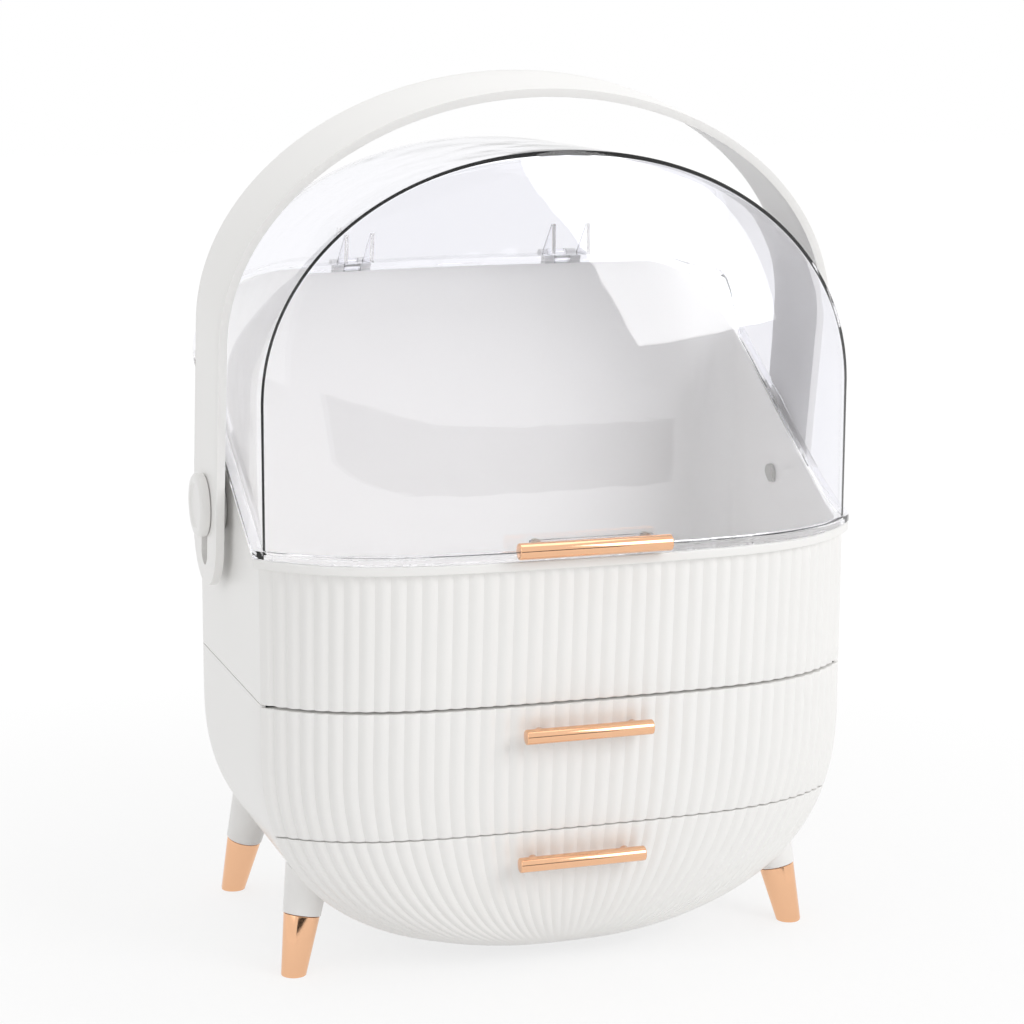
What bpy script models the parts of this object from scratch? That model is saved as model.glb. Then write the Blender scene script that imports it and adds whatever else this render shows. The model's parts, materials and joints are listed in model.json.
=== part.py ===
"""Dustproof makeup organizer: an egg-shaped case with a clear hinged lid, two drawers and a carry handle.

All sizes are in metres, +Z up, and the feet stand on the plane Z = 0.
The case is laid out from the plane of its sharp front corners, which is Y = 0 inside this file.
A root empty then moves everything so that the origin lies under the middle of the whole object.
"""

import math
from collections import namedtuple

import bmesh
import bpy
import numpy
from mathutils import Matrix, Vector

# Case
case_width = 0.280
case_depth = 0.1395
case_wall = 0.0025
rear_corner_radius = 0.020
case_bottom_z = 0.008
egg_widest_z = 0.112
egg_exponent = 2.5
bottom_seam_z = 0.0703
top_seam_z = 0.1314
bin_floor = 0.0025

# Rim of the upper bin
front_rim_z = 0.198
side_rim_rear_z = 0.281
rear_rim_z = 0.310
rear_rim_flat_width = 0.162
rear_rim_radius = 0.0747
lip_height = 0.0042
side_lip_height = 0.0018
lip_overhang = 0.0026
side_lip_overhang = 0.0012

# Pillow-shaped front with its flutes
front_bulge = 0.0393
front_plan_exponent = 5.2
front_round_share = 0.2
bulge_fall_exponent = 1.1
bulge_end_exponent = 0.33
flute_count = 44
flute_depth = 0.0011
flute_sides = 3
flute_fade_height = 0.014

# Clear lid
dome_width = 0.2776
dome_spring_z = 0.2637
dome_apex_z = 0.3733
dome_exponent = 2.08
dome_front_y = -0.0035
dome_rear_y = 0.1226
dome_bulge = 0.0330
dome_wall = 0.0024
dome_rear_radius = 0.006
flange_overhang = 0.0029
flange_rear_overhang = 0.0004
flange_thickness = 0.0036
ear_height = 0.0155
ear_depth = 0.0150
ear_thickness = 0.0020
pull_plate_width = 0.057
pull_plate_height = 0.0052
pull_plate_thickness = 0.0018
lid_screw_rise = 0.0014
lid_screw_spacing = 0.051
lid_screw_reach = 0.0040

# Lid hinges
left_hinge_x = -0.0625
left_ear_spacing = 0.013
right_hinge_x = 0.047
right_ear_spacing = 0.018
hinge_axis_setback = 0.0043
hinge_barrel_radius = 0.0032
hinge_pin_radius = 0.0012
lid_knuckle_width = 0.008
case_knuckle_width = 0.005
knuckle_web_height = 0.011
knuckle_tab_thickness = 0.0024

# Drawers
drawer_seam = 0.0007
bin_seam = 0.0010
front_skin = 0.0025
front_margin = 0.006
tray_wall = 0.0020
tray_clearance = 0.0010
tray_rear_clearance = 0.0030
middle_tray_height = 0.050
bottom_tray_drop = 0.0045
shelf_thickness = 0.0020
shelf_setback = 0.0040

# Pulls
lid_pull_length = 0.071
drawer_pull_length = 0.060
lid_pull_radius = 0.0037
drawer_pull_radius = 0.0034
pull_chamfer = 0.0005
pull_gap = 0.0040
pull_post_radius = 0.0026
pull_post_spacing = 0.044
pull_pad_radius = 0.0036
pull_pad_height = 0.0014
lid_pull_z = 0.2036
middle_pull_z = 0.1185
bottom_pull_z = 0.0570
pull_screw_radius = 0.0012
pull_screw_head_radius = 0.0026
pull_screw_head_height = 0.0014
pull_screw_reach = 0.0050

# Carry handle
handle_pivot_y = 0.0733
handle_pivot_z = 0.209
handle_apex_z = 0.4046
handle_spring_z = 0.2908
handle_width = 0.296
handle_exponent = 2.0
band_width = 0.049
band_thickness = 0.0038
band_chamfer = 0.0009
arm_end_drop = 0.038
handle_lean = math.radians(8.1)
slot_width = 0.0122
handle_lift = 0.023
button_radius = 0.0147
button_thickness = 0.0047
button_dish_radius = 0.0100
button_dish_depth = 0.0010
button_edge = 0.0014
shank_clearance = 0.0004
boss_radius = 0.0120
pivot_screw_radius = 0.0016
pivot_screw_head_radius = 0.0045
pivot_screw_head_height = 0.0020
pivot_screw_reach = 0.0050

# Legs
foot_x = 0.1234
front_foot_y = 0.0128
rear_foot_y = 0.1395
leg_length = 0.060
leg_lean_out = math.radians(11.0)
leg_lean_along = math.radians(9.0)
tip_length = 0.0275
tip_end_radius = 0.0056
tip_top_radius = 0.0084
tip_rounding = 0.0016
cone_top_radius = 0.0112
cone_step = 0.0004

# Fits
seat_gap = 0.0003
running_gap = 0.0004
overrun = 0.002

# Facets
arch_steps = 28
dome_front_steps = 14
band_steps = 20
fine_segments = 20
small_segments = 12

Plan = namedtuple("Plan", "half_width front_y bulge rear_y radius flute", defaults=(0.0,))
Column = namedtuple("Column", "kind share side flute")


def colour_material(name, colour, roughness, metallic=0.0, transmission=0.0):
    material = bpy.data.materials.new(name)
    material.use_nodes = True
    shader = material.node_tree.nodes["Principled BSDF"]
    shader.inputs["Base Color"].default_value = (*colour, 1.0)
    shader.inputs["Roughness"].default_value = roughness
    shader.inputs["Metallic"].default_value = metallic
    shader.inputs["Transmission Weight"].default_value = transmission
    return material


def white_plastic(name):
    return colour_material(name, (0.90, 0.89, 0.87), 0.35)


def clear_plastic(name):
    return colour_material(name, (0.96, 0.96, 0.98), 0.05, transmission=0.95)


def rose_gold(name):
    return colour_material(name, (0.80, 0.50, 0.33), 0.15, metallic=1.0)


def bright_steel(name):
    return colour_material(name, (0.62, 0.62, 0.62), 0.25, metallic=1.0)


def clear_scene():
    for item in list(bpy.data.objects):
        bpy.data.objects.remove(item, do_unlink=True)


def lofted(rings, around=False, start_point=None):
    """One closed body through rings of equal count, with flat ends unless it runs around.

    With a start point, the first end is drawn to that point.
    """
    mesh = bmesh.new()
    rows = [[mesh.verts.new(point) for point in ring] for ring in rings]
    count = len(rows[0])
    pairs = list(zip(rows, rows[1:]))
    if around:
        pairs.append((rows[-1], rows[0]))
    for first, second in pairs:
        for index in range(count):
            following = (index + 1) % count
            mesh.faces.new((first[index], first[following], second[following], second[index]))
    if start_point:
        tip = mesh.verts.new(start_point)
        for index in range(count):
            mesh.faces.new((rows[0][index], rows[0][(index + 1) % count], tip))
    elif not around:
        mesh.faces.new(rows[0])
    if not around:
        mesh.faces.new(rows[-1][::-1])
    bmesh.ops.recalc_face_normals(mesh, faces=mesh.faces)
    return mesh


def boxed(x_range, y_range, z_range):
    corners = ((0, 0), (1, 0), (1, 1), (0, 1))
    return lofted([[(x_range[i], y_range[j], z) for i, j in corners] for z in z_range])


def turned(profile, segments):
    """A solid of revolution about Z from (radius, height) pairs, with flat ends."""
    rings = []
    for radius, height in profile:
        angles = [math.tau * step / segments for step in range(segments)]
        rings.append([(radius * math.cos(a), radius * math.sin(a), height) for a in angles])
    return lofted(rings)


def prism_x(outline, x_range):
    """An outline of (y, z) points drawn out along X."""
    return lofted([[(x, y, z) for y, z in outline] for x in x_range])


def moved(mesh, matrix):
    bmesh.ops.transform(mesh, matrix=matrix, verts=mesh.verts)
    bmesh.ops.recalc_face_normals(mesh, faces=mesh.faces)
    return mesh


def along_x(mesh, place):
    return moved(mesh, Matrix.Translation(place) @ Matrix.Rotation(math.pi / 2, 4, "Y"))


def along_minus_y(mesh, place):
    return moved(mesh, Matrix.Translation(place) @ Matrix.Rotation(math.pi / 2, 4, "X"))


def add_object(name, mesh, material, parent, smooth_angle=math.radians(35)):
    data = bpy.data.meshes.new(name)
    mesh.to_mesh(data)
    mesh.free()
    data.materials.append(material)
    data.shade_smooth()
    data.set_sharp_from_angle(angle=smooth_angle)
    item = bpy.data.objects.new(name, data)
    bpy.context.scene.collection.objects.link(item)
    item.parent = parent
    return item


def add_empty(name, place, parent):
    item = bpy.data.objects.new(name, None)
    item.location = place
    item.parent = parent
    bpy.context.scene.collection.objects.link(item)
    return item


def combine(target, mesh, operation="DIFFERENCE"):
    """Cuts a hidden tool body out of the target, or joins it to the target."""
    tool_number = len(target.modifiers) + 1
    tool = add_object(f"{target.name}_tool_{tool_number}", mesh, target.data.materials[0], target.parent)
    tool.hide_render = True
    tool.display_type = "WIRE"
    modifier = target.modifiers.new(f"{operation.title()} {tool_number}", "BOOLEAN")
    modifier.operation = operation
    modifier.solver = "EXACT"
    modifier.object = tool
    return tool


def bulge_share(z):
    """How far the pillow front stands out at a height, from 1 at the rim to 0 at the case bottom."""
    fall = (front_rim_z - z) / (front_rim_z - case_bottom_z)
    fall = min(max(fall, 0.0), 1.0)
    return (1 - fall ** bulge_fall_exponent) ** bulge_end_exponent


def egg_half_width(z):
    if z >= egg_widest_z:
        return case_width / 2
    drop = min((egg_widest_z - z) / (egg_widest_z - case_bottom_z), 1.0)
    return case_width / 2 * (1 - drop ** egg_exponent) ** (1 / egg_exponent)


def case_plan(z):
    half_width = egg_half_width(z)
    bulge = front_bulge * bulge_share(z)
    fade = min((z - case_bottom_z) / flute_fade_height, 1.0)
    flute = flute_depth * fade * half_width / (case_width / 2)
    return Plan(half_width, 0.0, bulge, case_depth, rear_corner_radius, flute)


def front_share(t):
    """Shape of the front in plan: 1 in the middle, 0 at the corners, flat with tight ends."""
    return (1 - front_round_share) * (1 - abs(t) ** front_plan_exponent) + front_round_share * (1 - t * t)


def front_slope(t):
    """How fast the front falls back towards a corner, for a bulge and a half width of 1."""
    steep = front_plan_exponent * abs(t) ** (front_plan_exponent - 1) * math.copysign(1, t)
    return (1 - front_round_share) * steep + front_round_share * 2 * t


def flute_shares(fluted):
    """Places across the front from -1 to 1 with the depth share of the flutes there."""
    places = numpy.linspace(-1, 1, 2001)
    x = places * case_width / 2
    y = -front_bulge * front_share(places)
    run = numpy.concatenate([[0.0], numpy.cumsum(numpy.hypot(numpy.diff(x), numpy.diff(y)))])
    run = run / run[-1] * flute_count
    phases = [0.0]
    steps = flute_sides if fluted else 1
    first_phase = 0.5
    for valley in range(1, flute_count):
        if not fluted:
            phases.append(valley)
            continue
        phases.extend(valley + (step - (steps - 1) / 2) / steps for step in range(steps))
    phases.append(flute_count)
    shares = []
    for phase in phases:
        plain = not fluted or phase < first_phase or phase > flute_count - first_phase
        depth = 0.0 if plain else 1 - abs(math.sin(math.pi * phase))
        shares.append((float(numpy.interp(phase, run, places)), depth))
    return shares


def plain_front_shares(steps):
    """Places across a front without flutes, closer together near the corners."""
    return [(math.sin(math.pi / 2 * (2 * step / steps - 1)), 0.0) for step in range(steps + 1)]


def plan_columns(front_shares, side_steps=8, corner_steps=4, rear_steps=10):
    """The columns of a wall that runs once round the case, anticlockwise from the front left corner."""
    columns = [Column("front", share, 0, depth) for share, depth in front_shares]
    columns += [Column("side", step / side_steps, 1, 0.0) for step in range(1, side_steps)]
    columns += [Column("corner", step / corner_steps, 1, 0.0) for step in range(corner_steps)]
    columns += [Column("rear", math.cos(math.pi * step / rear_steps), 0, 0.0)
                for step in range(rear_steps + 1)]
    columns += [Column("corner", 1 - step / corner_steps, -1, 0.0) for step in range(1, corner_steps + 1)]
    columns += [Column("side", 1 - step / side_steps, -1, 0.0) for step in range(1, side_steps)]
    return columns


def front_place(column, plan, offset):
    """A point on the pillow front, moved square to it in plan, mitred at the two corners."""
    t = column.share
    normal = Vector((plan.bulge * front_slope(t), -plan.half_width)).normalized()
    if abs(t) == 1:
        side = Vector((math.copysign(1, t), 0.0))
        normal = (normal + side) / (1 + normal.dot(side))
    x = t * plan.half_width + normal.x * offset
    y = plan.front_y - plan.bulge * front_share(t) + normal.y * offset
    return x, y


def plan_place(column, plan, offset=0.0):
    if column.kind == "front":
        flute = column.flute * plan.flute
        return front_place(column, plan, offset - flute)
    if column.kind == "side":
        run = plan.rear_y - plan.radius - plan.front_y
        return column.side * (plan.half_width + offset), plan.front_y + column.share * run
    centre_x = plan.half_width - plan.radius
    if column.kind == "corner":
        angle = column.share * math.pi / 2
        reach = plan.radius + offset
        x = column.side * (centre_x + reach * math.cos(angle))
        return x, plan.rear_y - plan.radius + reach * math.sin(angle)
    return column.share * centre_x, plan.rear_y + offset


def rear_rim_height(x):
    """Flat in the middle, then a round arc down to each rear corner."""
    beyond = max(abs(x) - rear_rim_flat_width / 2, 0.0)
    beyond = min(beyond, rear_rim_radius)
    return rear_rim_z - rear_rim_radius + math.sqrt(rear_rim_radius ** 2 - beyond ** 2)


def side_rim_height(y):
    share = min(max(y / case_depth, 0.0), 1.0)
    return front_rim_z + share * (side_rim_rear_z - front_rim_z)


def rim_height(column):
    """Height of the bin's rim at a column: level in front, sloped at the sides, arched behind."""
    x, y = plan_place(column, case_plan(front_rim_z))
    if column.kind == "front":
        return front_rim_z
    if column.kind == "side":
        return side_rim_height(y)
    if column.kind == "rear":
        return rear_rim_height(x)
    blend = column.share ** 2 * (3 - 2 * column.share)
    return (1 - blend) * side_rim_height(y) + blend * rear_rim_height(x)


def ring_at(columns, plan, heights, offsets):
    ring = []
    for column, height, offset in zip(columns, heights, offsets):
        x, y = plan_place(column, plan, offset)
        ring.append((x, y, height))
    return ring


def level_ring(columns, z, offset=0.0):
    return ring_at(columns, case_plan(z), [z] * len(columns), [offset] * len(columns))


def plain(columns):
    return [column._replace(flute=0.0) for column in columns]


def front_weight(column):
    """1 on the front, falling to 0 a short way along each side."""
    if column.kind == "front":
        return 1.0
    if column.kind == "side":
        return max(1 - 4 * column.share, 0.0)
    return 0.0


def upper_bin_mesh():
    """The fluted upper bin: floor, walls, sloped rim and the lip under the lid's flange."""
    columns = plan_columns(flute_shares(True))
    smooth = plain(columns)
    rim = [rim_height(column) for column in columns]
    weights = [front_weight(column) for column in columns]
    overhangs = [side_lip_overhang + w * (lip_overhang - side_lip_overhang) for w in weights]
    lip_heights = [side_lip_height + w * (lip_height - side_lip_height) for w in weights]
    lip_low = [top - tall for top, tall in zip(rim, lip_heights)]
    base_z = top_seam_z + seat_gap
    top_plan = case_plan(front_rim_z)
    no_offset = [0.0] * len(columns)
    inner = [-(case_wall + flute_depth * w) for w in weights]
    floor_z = base_z + bin_floor
    rings = [level_ring(columns, base_z)]
    rings.append(ring_at(columns, top_plan, lip_low, no_offset))
    rings.append(ring_at(smooth, top_plan, lip_low, overhangs))
    rings.append(ring_at(smooth, top_plan, rim, overhangs))
    rings.append(ring_at(smooth, top_plan, rim, inner))
    rings.append(ring_at(smooth, case_plan(floor_z), [floor_z] * len(columns), inner))
    return lofted(rings)


def hinge_axis():
    return case_depth + hinge_axis_setback, rear_rim_z + seat_gap + flange_thickness / 2


def barrel(x_range, radius):
    axis_y, axis_z = hinge_axis()
    mesh = turned([(radius, 0.0), (radius, x_range[1] - x_range[0])], small_segments)
    return along_x(mesh, (x_range[0], axis_y, axis_z))


def knuckle_ranges(centre):
    """X ranges of the lid's knuckle and of the case's two knuckles beside it."""
    half = lid_knuckle_width / 2
    near = half + running_gap
    far = near + case_knuckle_width
    return (centre - half, centre + half), ((centre - far, centre - near), (centre + near, centre + far))


def add_case_knuckles(upper_bin):
    axis_y, axis_z = hinge_axis()
    for centre in (left_hinge_x, right_hinge_x):
        for x_range in knuckle_ranges(centre)[1]:
            low_z = axis_z - knuckle_web_height
            root_y = case_depth - case_wall / 2
            nose_y = axis_y + hinge_barrel_radius / 2
            web = [(root_y, low_z), (nose_y, axis_z - hinge_barrel_radius / 2), (axis_y, axis_z),
                   (case_depth - seat_gap, axis_z - flange_thickness / 2 - 2 * seat_gap),
                   (root_y, axis_z - flange_thickness / 2 - 2 * seat_gap)]
            combine(upper_bin, prism_x(web, x_range), "UNION")
            combine(upper_bin, barrel(x_range, hinge_barrel_radius), "UNION")
            bore_range = (x_range[0] - overrun, x_range[1] + overrun)
            combine(upper_bin, barrel(bore_range, hinge_pin_radius + running_gap))


def side_cylinder(side, x_range, radius, segments=small_segments):
    """A cylinder along X at the handle's pivot, between two distances from the middle plane."""
    low, high = sorted((side * x_range[0], side * x_range[1]))
    mesh = turned([(radius, 0.0), (radius, high - low)], segments)
    return along_x(mesh, (low, handle_pivot_y, handle_pivot_z))


def build_upper_bin(parent):
    item = add_object("upper_bin", upper_bin_mesh(), white_plastic("Upper bin plastic"), parent)
    add_case_knuckles(item)
    outside = case_width / 2
    for side in (-1, 1):
        hole_range = (outside - case_wall - overrun, outside + overrun)
        combine(item, side_cylinder(side, hole_range, pivot_screw_radius + running_gap))
    return item


def egg_outline(inset, top_z):
    """The case's outline seen from the front, open at the top, moved in square to itself."""
    half_width = case_width / 2
    tall = egg_widest_z - case_bottom_z
    points = [(half_width - inset, top_z)]
    for step in range(arch_steps + 1):
        angle = math.pi * step / arch_steps
        cosine = math.cos(angle)
        sine = math.sin(angle)
        across = math.copysign(abs(cosine) ** (2 / egg_exponent), cosine)
        down = abs(sine) ** (2 / egg_exponent)
        slope = Vector((math.copysign(abs(across) ** (egg_exponent - 1), across) / half_width,
                        -down ** (egg_exponent - 1) / tall)).normalized()
        x = half_width * across - slope.x * inset
        z = egg_widest_z - tall * down - slope.y * inset
        points.append((x, z))
    points.append((inset - half_width, top_z))
    return points


def egg_block(inset, front_y, rear_y, radius, top_z):
    """The case's outline drawn back from the front, with round edges behind."""
    corner_steps = 4
    rings = [[(x, front_y, z) for x, z in egg_outline(inset, top_z)]]
    for step in range(corner_steps + 1):
        angle = math.pi / 2 * step / corner_steps
        y = rear_y - radius + radius * math.sin(angle)
        further = inset + radius * (1 - math.cos(angle))
        rings.append([(x, y, z) for x, z in egg_outline(further, top_z)])
    return lofted(rings)


def build_lower_shell(parent):
    """The egg-shaped lower case, open in front for the drawers and on top under the bin."""
    top_z = top_seam_z
    outer = egg_block(0.0, seat_gap, case_depth, rear_corner_radius, top_z)
    inner_radius = rear_corner_radius - case_wall
    inner = egg_block(case_wall, -overrun, case_depth - case_wall, inner_radius, top_z + overrun)
    item = add_object("lower_shell", outer, white_plastic("Lower shell plastic"), parent)
    combine(item, inner)
    return item


def shelf_top_z():
    return bottom_seam_z


def build_drawer_shelf(parent):
    """The plate between the drawers, held by the walls that draw in below it."""
    inset = case_wall + seat_gap
    rear_y = case_depth - inset
    block = egg_block(inset, shelf_setback, rear_y, rear_corner_radius - inset, top_seam_z)
    item = add_object("drawer_shelf", block, white_plastic("Shelf plastic"), parent)
    half_width = case_width / 2
    z_range = (shelf_top_z() - shelf_thickness, shelf_top_z())
    combine(item, boxed((-half_width, half_width), (-overrun, case_depth), z_range), "INTERSECT")
    return item


def front_rings(heights, columns):
    """Level rings of the pillow front; each closes along the flat back."""
    rings = []
    for z in heights:
        plan = case_plan(z)
        rings.append([(*plan_place(column, plan), z) for column in columns])
    return rings


def pocket_mesh(heights, columns):
    """The hollow behind a drawer front, leaving the skin and a flat margin all round."""
    rings = []
    for z in heights:
        plan = case_plan(z)
        half_width = plan.half_width - front_margin
        ring = []
        for column in columns:
            x = column.share * half_width
            depth = plan.bulge * front_share(x / plan.half_width) - front_skin - flute_depth
            ring.append((x, -max(depth, -overrun / 2), z))
        ring.append((half_width, overrun, z))
        ring.append((-half_width, overrun, z))
        rings.append(ring)
    return lofted(rings)


def spread(low, high, steps):
    return [low + (high - low) * step / steps for step in range(steps + 1)]


def egg_heights(low, high, steps):
    """Heights that follow the egg's outline, closer together towards its bottom."""
    tall = egg_widest_z - case_bottom_z
    angles = [math.asin(min((egg_widest_z - z) / tall, 1.0) ** (egg_exponent / 2)) for z in (high, low)]
    heights = []
    for angle in spread(angles[1], angles[0], steps):
        heights.append(egg_widest_z - tall * math.sin(angle) ** (2 / egg_exponent))
    return heights


def build_drawer_front(name, heights, pocket_heights, pull_z, parent, start_point=None):
    columns = [Column("front", share, 0, depth) for share, depth in flute_shares(True)]
    plain_columns = [Column("front", share, 0, 0.0) for share, _ in plain_front_shares(dome_front_steps)]
    mesh = lofted(front_rings(heights, columns), start_point=start_point)
    item = add_object(name, mesh, white_plastic(name.replace("_", " ").capitalize() + " plastic"), parent)
    combine(item, pocket_mesh(pocket_heights, plain_columns))
    for x, face_y, z in pull_places(pull_z):
        inner_y = pull_screw_seat(face_y)
        outer_y = face_y - pull_pad_height
        pad = turned([(pull_pad_radius, 0.0), (pull_pad_radius, inner_y - outer_y)], small_segments)
        combine(item, along_minus_y(pad, (x, inner_y, z)), "UNION")
        radius = pull_screw_radius + running_gap
        hole = turned([(radius, 0.0), (radius, inner_y - outer_y + 2 * overrun)], small_segments)
        combine(item, along_minus_y(hole, (x, inner_y + overrun, z)))
    return item


def pull_screw_seat(face_y):
    """Where the pad behind a drawer front ends, for the head of a pull's screw."""
    return face_y + front_skin + flute_depth + pull_pad_height


def front_face_y(z):
    """Where the crowns of the pillow front stand at its middle, at a height."""
    return -front_bulge * bulge_share(z)


def pull_places(z):
    """The two post centres of a drawer pull, on the face of the front."""
    return [(side * pull_post_spacing / 2, front_face_y(z), z) for side in (-1, 1)]


def build_middle_front(parent):
    low = bottom_seam_z + drawer_seam / 2
    high = top_seam_z - bin_seam
    heights = spread(low, high, 3)
    pockets = spread(low + front_margin, high - front_margin, 2)
    return build_drawer_front("middle_drawer_front", heights, pockets, middle_pull_z, parent)


def build_bottom_front(parent):
    low = case_bottom_z + 3 * seat_gap
    high = bottom_seam_z - drawer_seam / 2
    heights = egg_heights(low, high, 7)
    pockets = egg_heights(low + front_margin, high - front_margin, 5)
    lowest = (0.0, 0.0, case_bottom_z)
    return build_drawer_front("bottom_drawer_front", heights, pockets, bottom_pull_z, parent, lowest)


def tray_rear_y():
    return case_depth - case_wall - tray_rear_clearance


def build_middle_tray(parent):
    """A square-sided tray that slides on the shelf."""
    low = shelf_top_z() + seat_gap
    half_width = egg_half_width(low) - case_wall - tray_clearance
    radius = rear_corner_radius - case_wall
    plan = Plan(half_width, seat_gap, 0.0, tray_rear_y(), radius)
    columns = plan_columns([(-1.0, 0.0), (1.0, 0.0)], 2, 4, 2)
    count = len(columns)
    high = low + middle_tray_height
    rings = [ring_at(columns, plan, [z] * count, [0.0] * count) for z in (low, high)]
    rings += [ring_at(columns, plan, [z] * count, [-tray_wall] * count) for z in (high, low + tray_wall)]
    return add_object("middle_drawer_tray", lofted(rings), white_plastic("Middle tray plastic"), parent)


def build_bottom_tray(parent):
    """A round-bottomed tray that follows the inside of the egg."""
    inset = case_wall + tray_clearance
    top_z = shelf_top_z() - shelf_thickness - bottom_tray_drop
    rear_y = tray_rear_y()
    outer = egg_block(inset, seat_gap, rear_y, rear_corner_radius - inset, top_seam_z)
    inner_inset = inset + tray_wall
    inner = egg_block(inner_inset, seat_gap + tray_wall, rear_y - tray_wall,
                      rear_corner_radius - inner_inset, top_seam_z + overrun)
    item = add_object("bottom_drawer_tray", outer, white_plastic("Bottom tray plastic"), parent)
    combine(item, inner)
    half_width = case_width / 2
    combine(item, boxed((-half_width, half_width), (-overrun, case_depth), (top_z, case_width)))
    return item


def pull_mesh(length, radius, centre_y, z):
    half = length / 2
    profile = [(radius - pull_chamfer, 0.0), (radius, pull_chamfer),
               (radius, length - pull_chamfer), (radius - pull_chamfer, length)]
    return along_x(turned(profile, fine_segments), (-half, centre_y, z))


def add_posts(item, places, centre_y, seat_y):
    """Round posts from the bar to its seat, each with a blind bore for a screw."""
    for x, _, z in places:
        post = turned([(pull_post_radius, 0.0), (pull_post_radius, seat_y - centre_y)], small_segments)
        combine(item, along_minus_y(post, (x, seat_y, z)), "UNION")
        depth = pull_screw_reach + seat_gap
        bore_radius = pull_screw_radius + running_gap
        bore = turned([(bore_radius, 0.0), (bore_radius, depth + overrun)], small_segments)
        combine(item, along_minus_y(bore, (x, seat_y + overrun, z)))


def screw_mesh(place, head_y, tip_y):
    """A screw along -Y with its head behind."""
    x, _, z = place
    profile = [(pull_screw_head_radius, 0.0), (pull_screw_head_radius, pull_screw_head_height),
               (pull_screw_radius, pull_screw_head_height), (pull_screw_radius, head_y - tip_y)]
    return along_minus_y(turned(profile, small_segments), (x, head_y, z))


def build_drawer_pull(prefix, z, parent):
    places = pull_places(z)
    seat_y = front_face_y(z) - pull_pad_height - seat_gap
    centre_y = front_face_y(z) - pull_gap - drawer_pull_radius
    bar = pull_mesh(drawer_pull_length, drawer_pull_radius, centre_y, z)
    item = add_object(f"{prefix}_pull", bar, rose_gold(f"{prefix} pull metal"), parent)
    add_posts(item, places, centre_y, seat_y)
    head_y = pull_screw_seat(front_face_y(z)) + seat_gap + pull_screw_head_height
    for side_name, place in zip(("left", "right"), places):
        screw = screw_mesh(place, head_y, seat_y - pull_screw_reach)
        add_object(f"{prefix}_{side_name}_screw", screw, bright_steel(f"{prefix} screw steel"), parent)


def dome_plan():
    return Plan(dome_width / 2, dome_front_y, dome_bulge, dome_rear_y, dome_rear_radius)


def flange_plan():
    base = case_plan(front_rim_z)
    return base._replace(rear_y=case_depth - flange_overhang + flange_rear_overhang)


def arch_outline(inset, low_z):
    """Right half of the dome's arch, from its foot to its apex, as (half width, z)."""
    half_width = dome_width / 2 - inset
    rise = dome_apex_z - inset - dome_spring_z
    points = [(half_width, z) for z in spread(low_z, dome_spring_z, 3)[:-1]]
    steps = arch_steps // 2
    for step in range(steps + 1):
        angle = math.pi / 2 * step / steps
        across = math.cos(angle) ** (2 / dome_exponent) if step < steps else 0.0
        points.append((half_width * across, dome_spring_z + rise * math.sin(angle) ** (2 / dome_exponent)))
    return points


def dome_front_depth(z):
    """How far the clear front bulges at a height: full at the rim, none at the apex."""
    share = min(max((z - front_rim_z) / (dome_apex_z - front_rim_z), 0.0), 1.0)
    return dome_bulge * (1 - share ** 2)


def dome_block(inset, low_z):
    """The dome as a solid: bulging front, straight barrel and a rear wall with a round edge."""
    outline = arch_outline(inset, low_z)
    shares = [share for share, _ in plain_front_shares(dome_front_steps)]
    front_y = dome_front_y + inset
    rear_y = dome_rear_y - inset
    radius = dome_rear_radius - inset
    mesh = bmesh.new()
    rows = []
    for half_width, z in outline[:-1]:
        depth = dome_front_depth(z)
        row = []
        for share in shares:
            y = front_y - depth * front_share(share)
            row.append(mesh.verts.new((share * half_width, y, z)))
        rows.append(row)
    apex = mesh.verts.new((0.0, front_y, outline[-1][1]))
    for first, second in zip(rows, rows[1:]):
        for index in range(len(shares) - 1):
            mesh.faces.new((first[index], first[index + 1], second[index + 1], second[index]))
    for index in range(len(shares) - 1):
        mesh.faces.new((rows[-1][index], rows[-1][index + 1], apex))
    rim = [row[-1] for row in rows] + [apex] + [row[0] for row in rows[::-1]]
    corner_steps = 2
    stations = [(rear_y - radius, 0.0)]
    for step in range(1, corner_steps + 1):
        angle = math.pi / 2 * step / corner_steps
        stations.append((rear_y - radius + radius * math.sin(angle), radius * (1 - math.cos(angle))))
    rings = [rim]
    for y, further in stations:
        half = arch_outline(inset + further, low_z)
        ring = [(x, y, z) for x, z in half] + [(-x, y, z) for x, z in half[-2::-1]]
        rings.append([mesh.verts.new(point) for point in ring])
    for first, second in zip(rings, rings[1:]):
        for index in range(len(first) - 1):
            mesh.faces.new((first[index], first[index + 1], second[index + 1], second[index]))
    mesh.faces.new(rings[-1])
    floor = list(rows[0]) + [ring[0] for ring in rings[1:]] + [ring[-1] for ring in rings[:0:-1]]
    mesh.faces.new(floor)
    bmesh.ops.recalc_face_normals(mesh, faces=mesh.faces)
    return mesh


def rim_band(outer_plan, outer_offset, inner_offset, low_z, high_z):
    """A closed band above the rim, from outside the flange to inside the dome wall."""
    columns = plan_columns(plain_front_shares(20))
    rim = [rim_height(column) for column in columns]
    count = len(columns)
    outside = [outer_offset] * count
    inside = [inner_offset] * count
    low = [z + low_z for z in rim] if low_z is not None else [case_bottom_z] * count
    high = [z + high_z for z in rim]
    outer_low = ring_at(columns, outer_plan, low, outside)
    outer_high = ring_at(columns, outer_plan, high, outside)
    inner_high = ring_at(columns, dome_plan(), high, inside)
    inner_low = ring_at(columns, dome_plan(), low, inside)
    return lofted([outer_low, outer_high, inner_high, inner_low], around=True)


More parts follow.
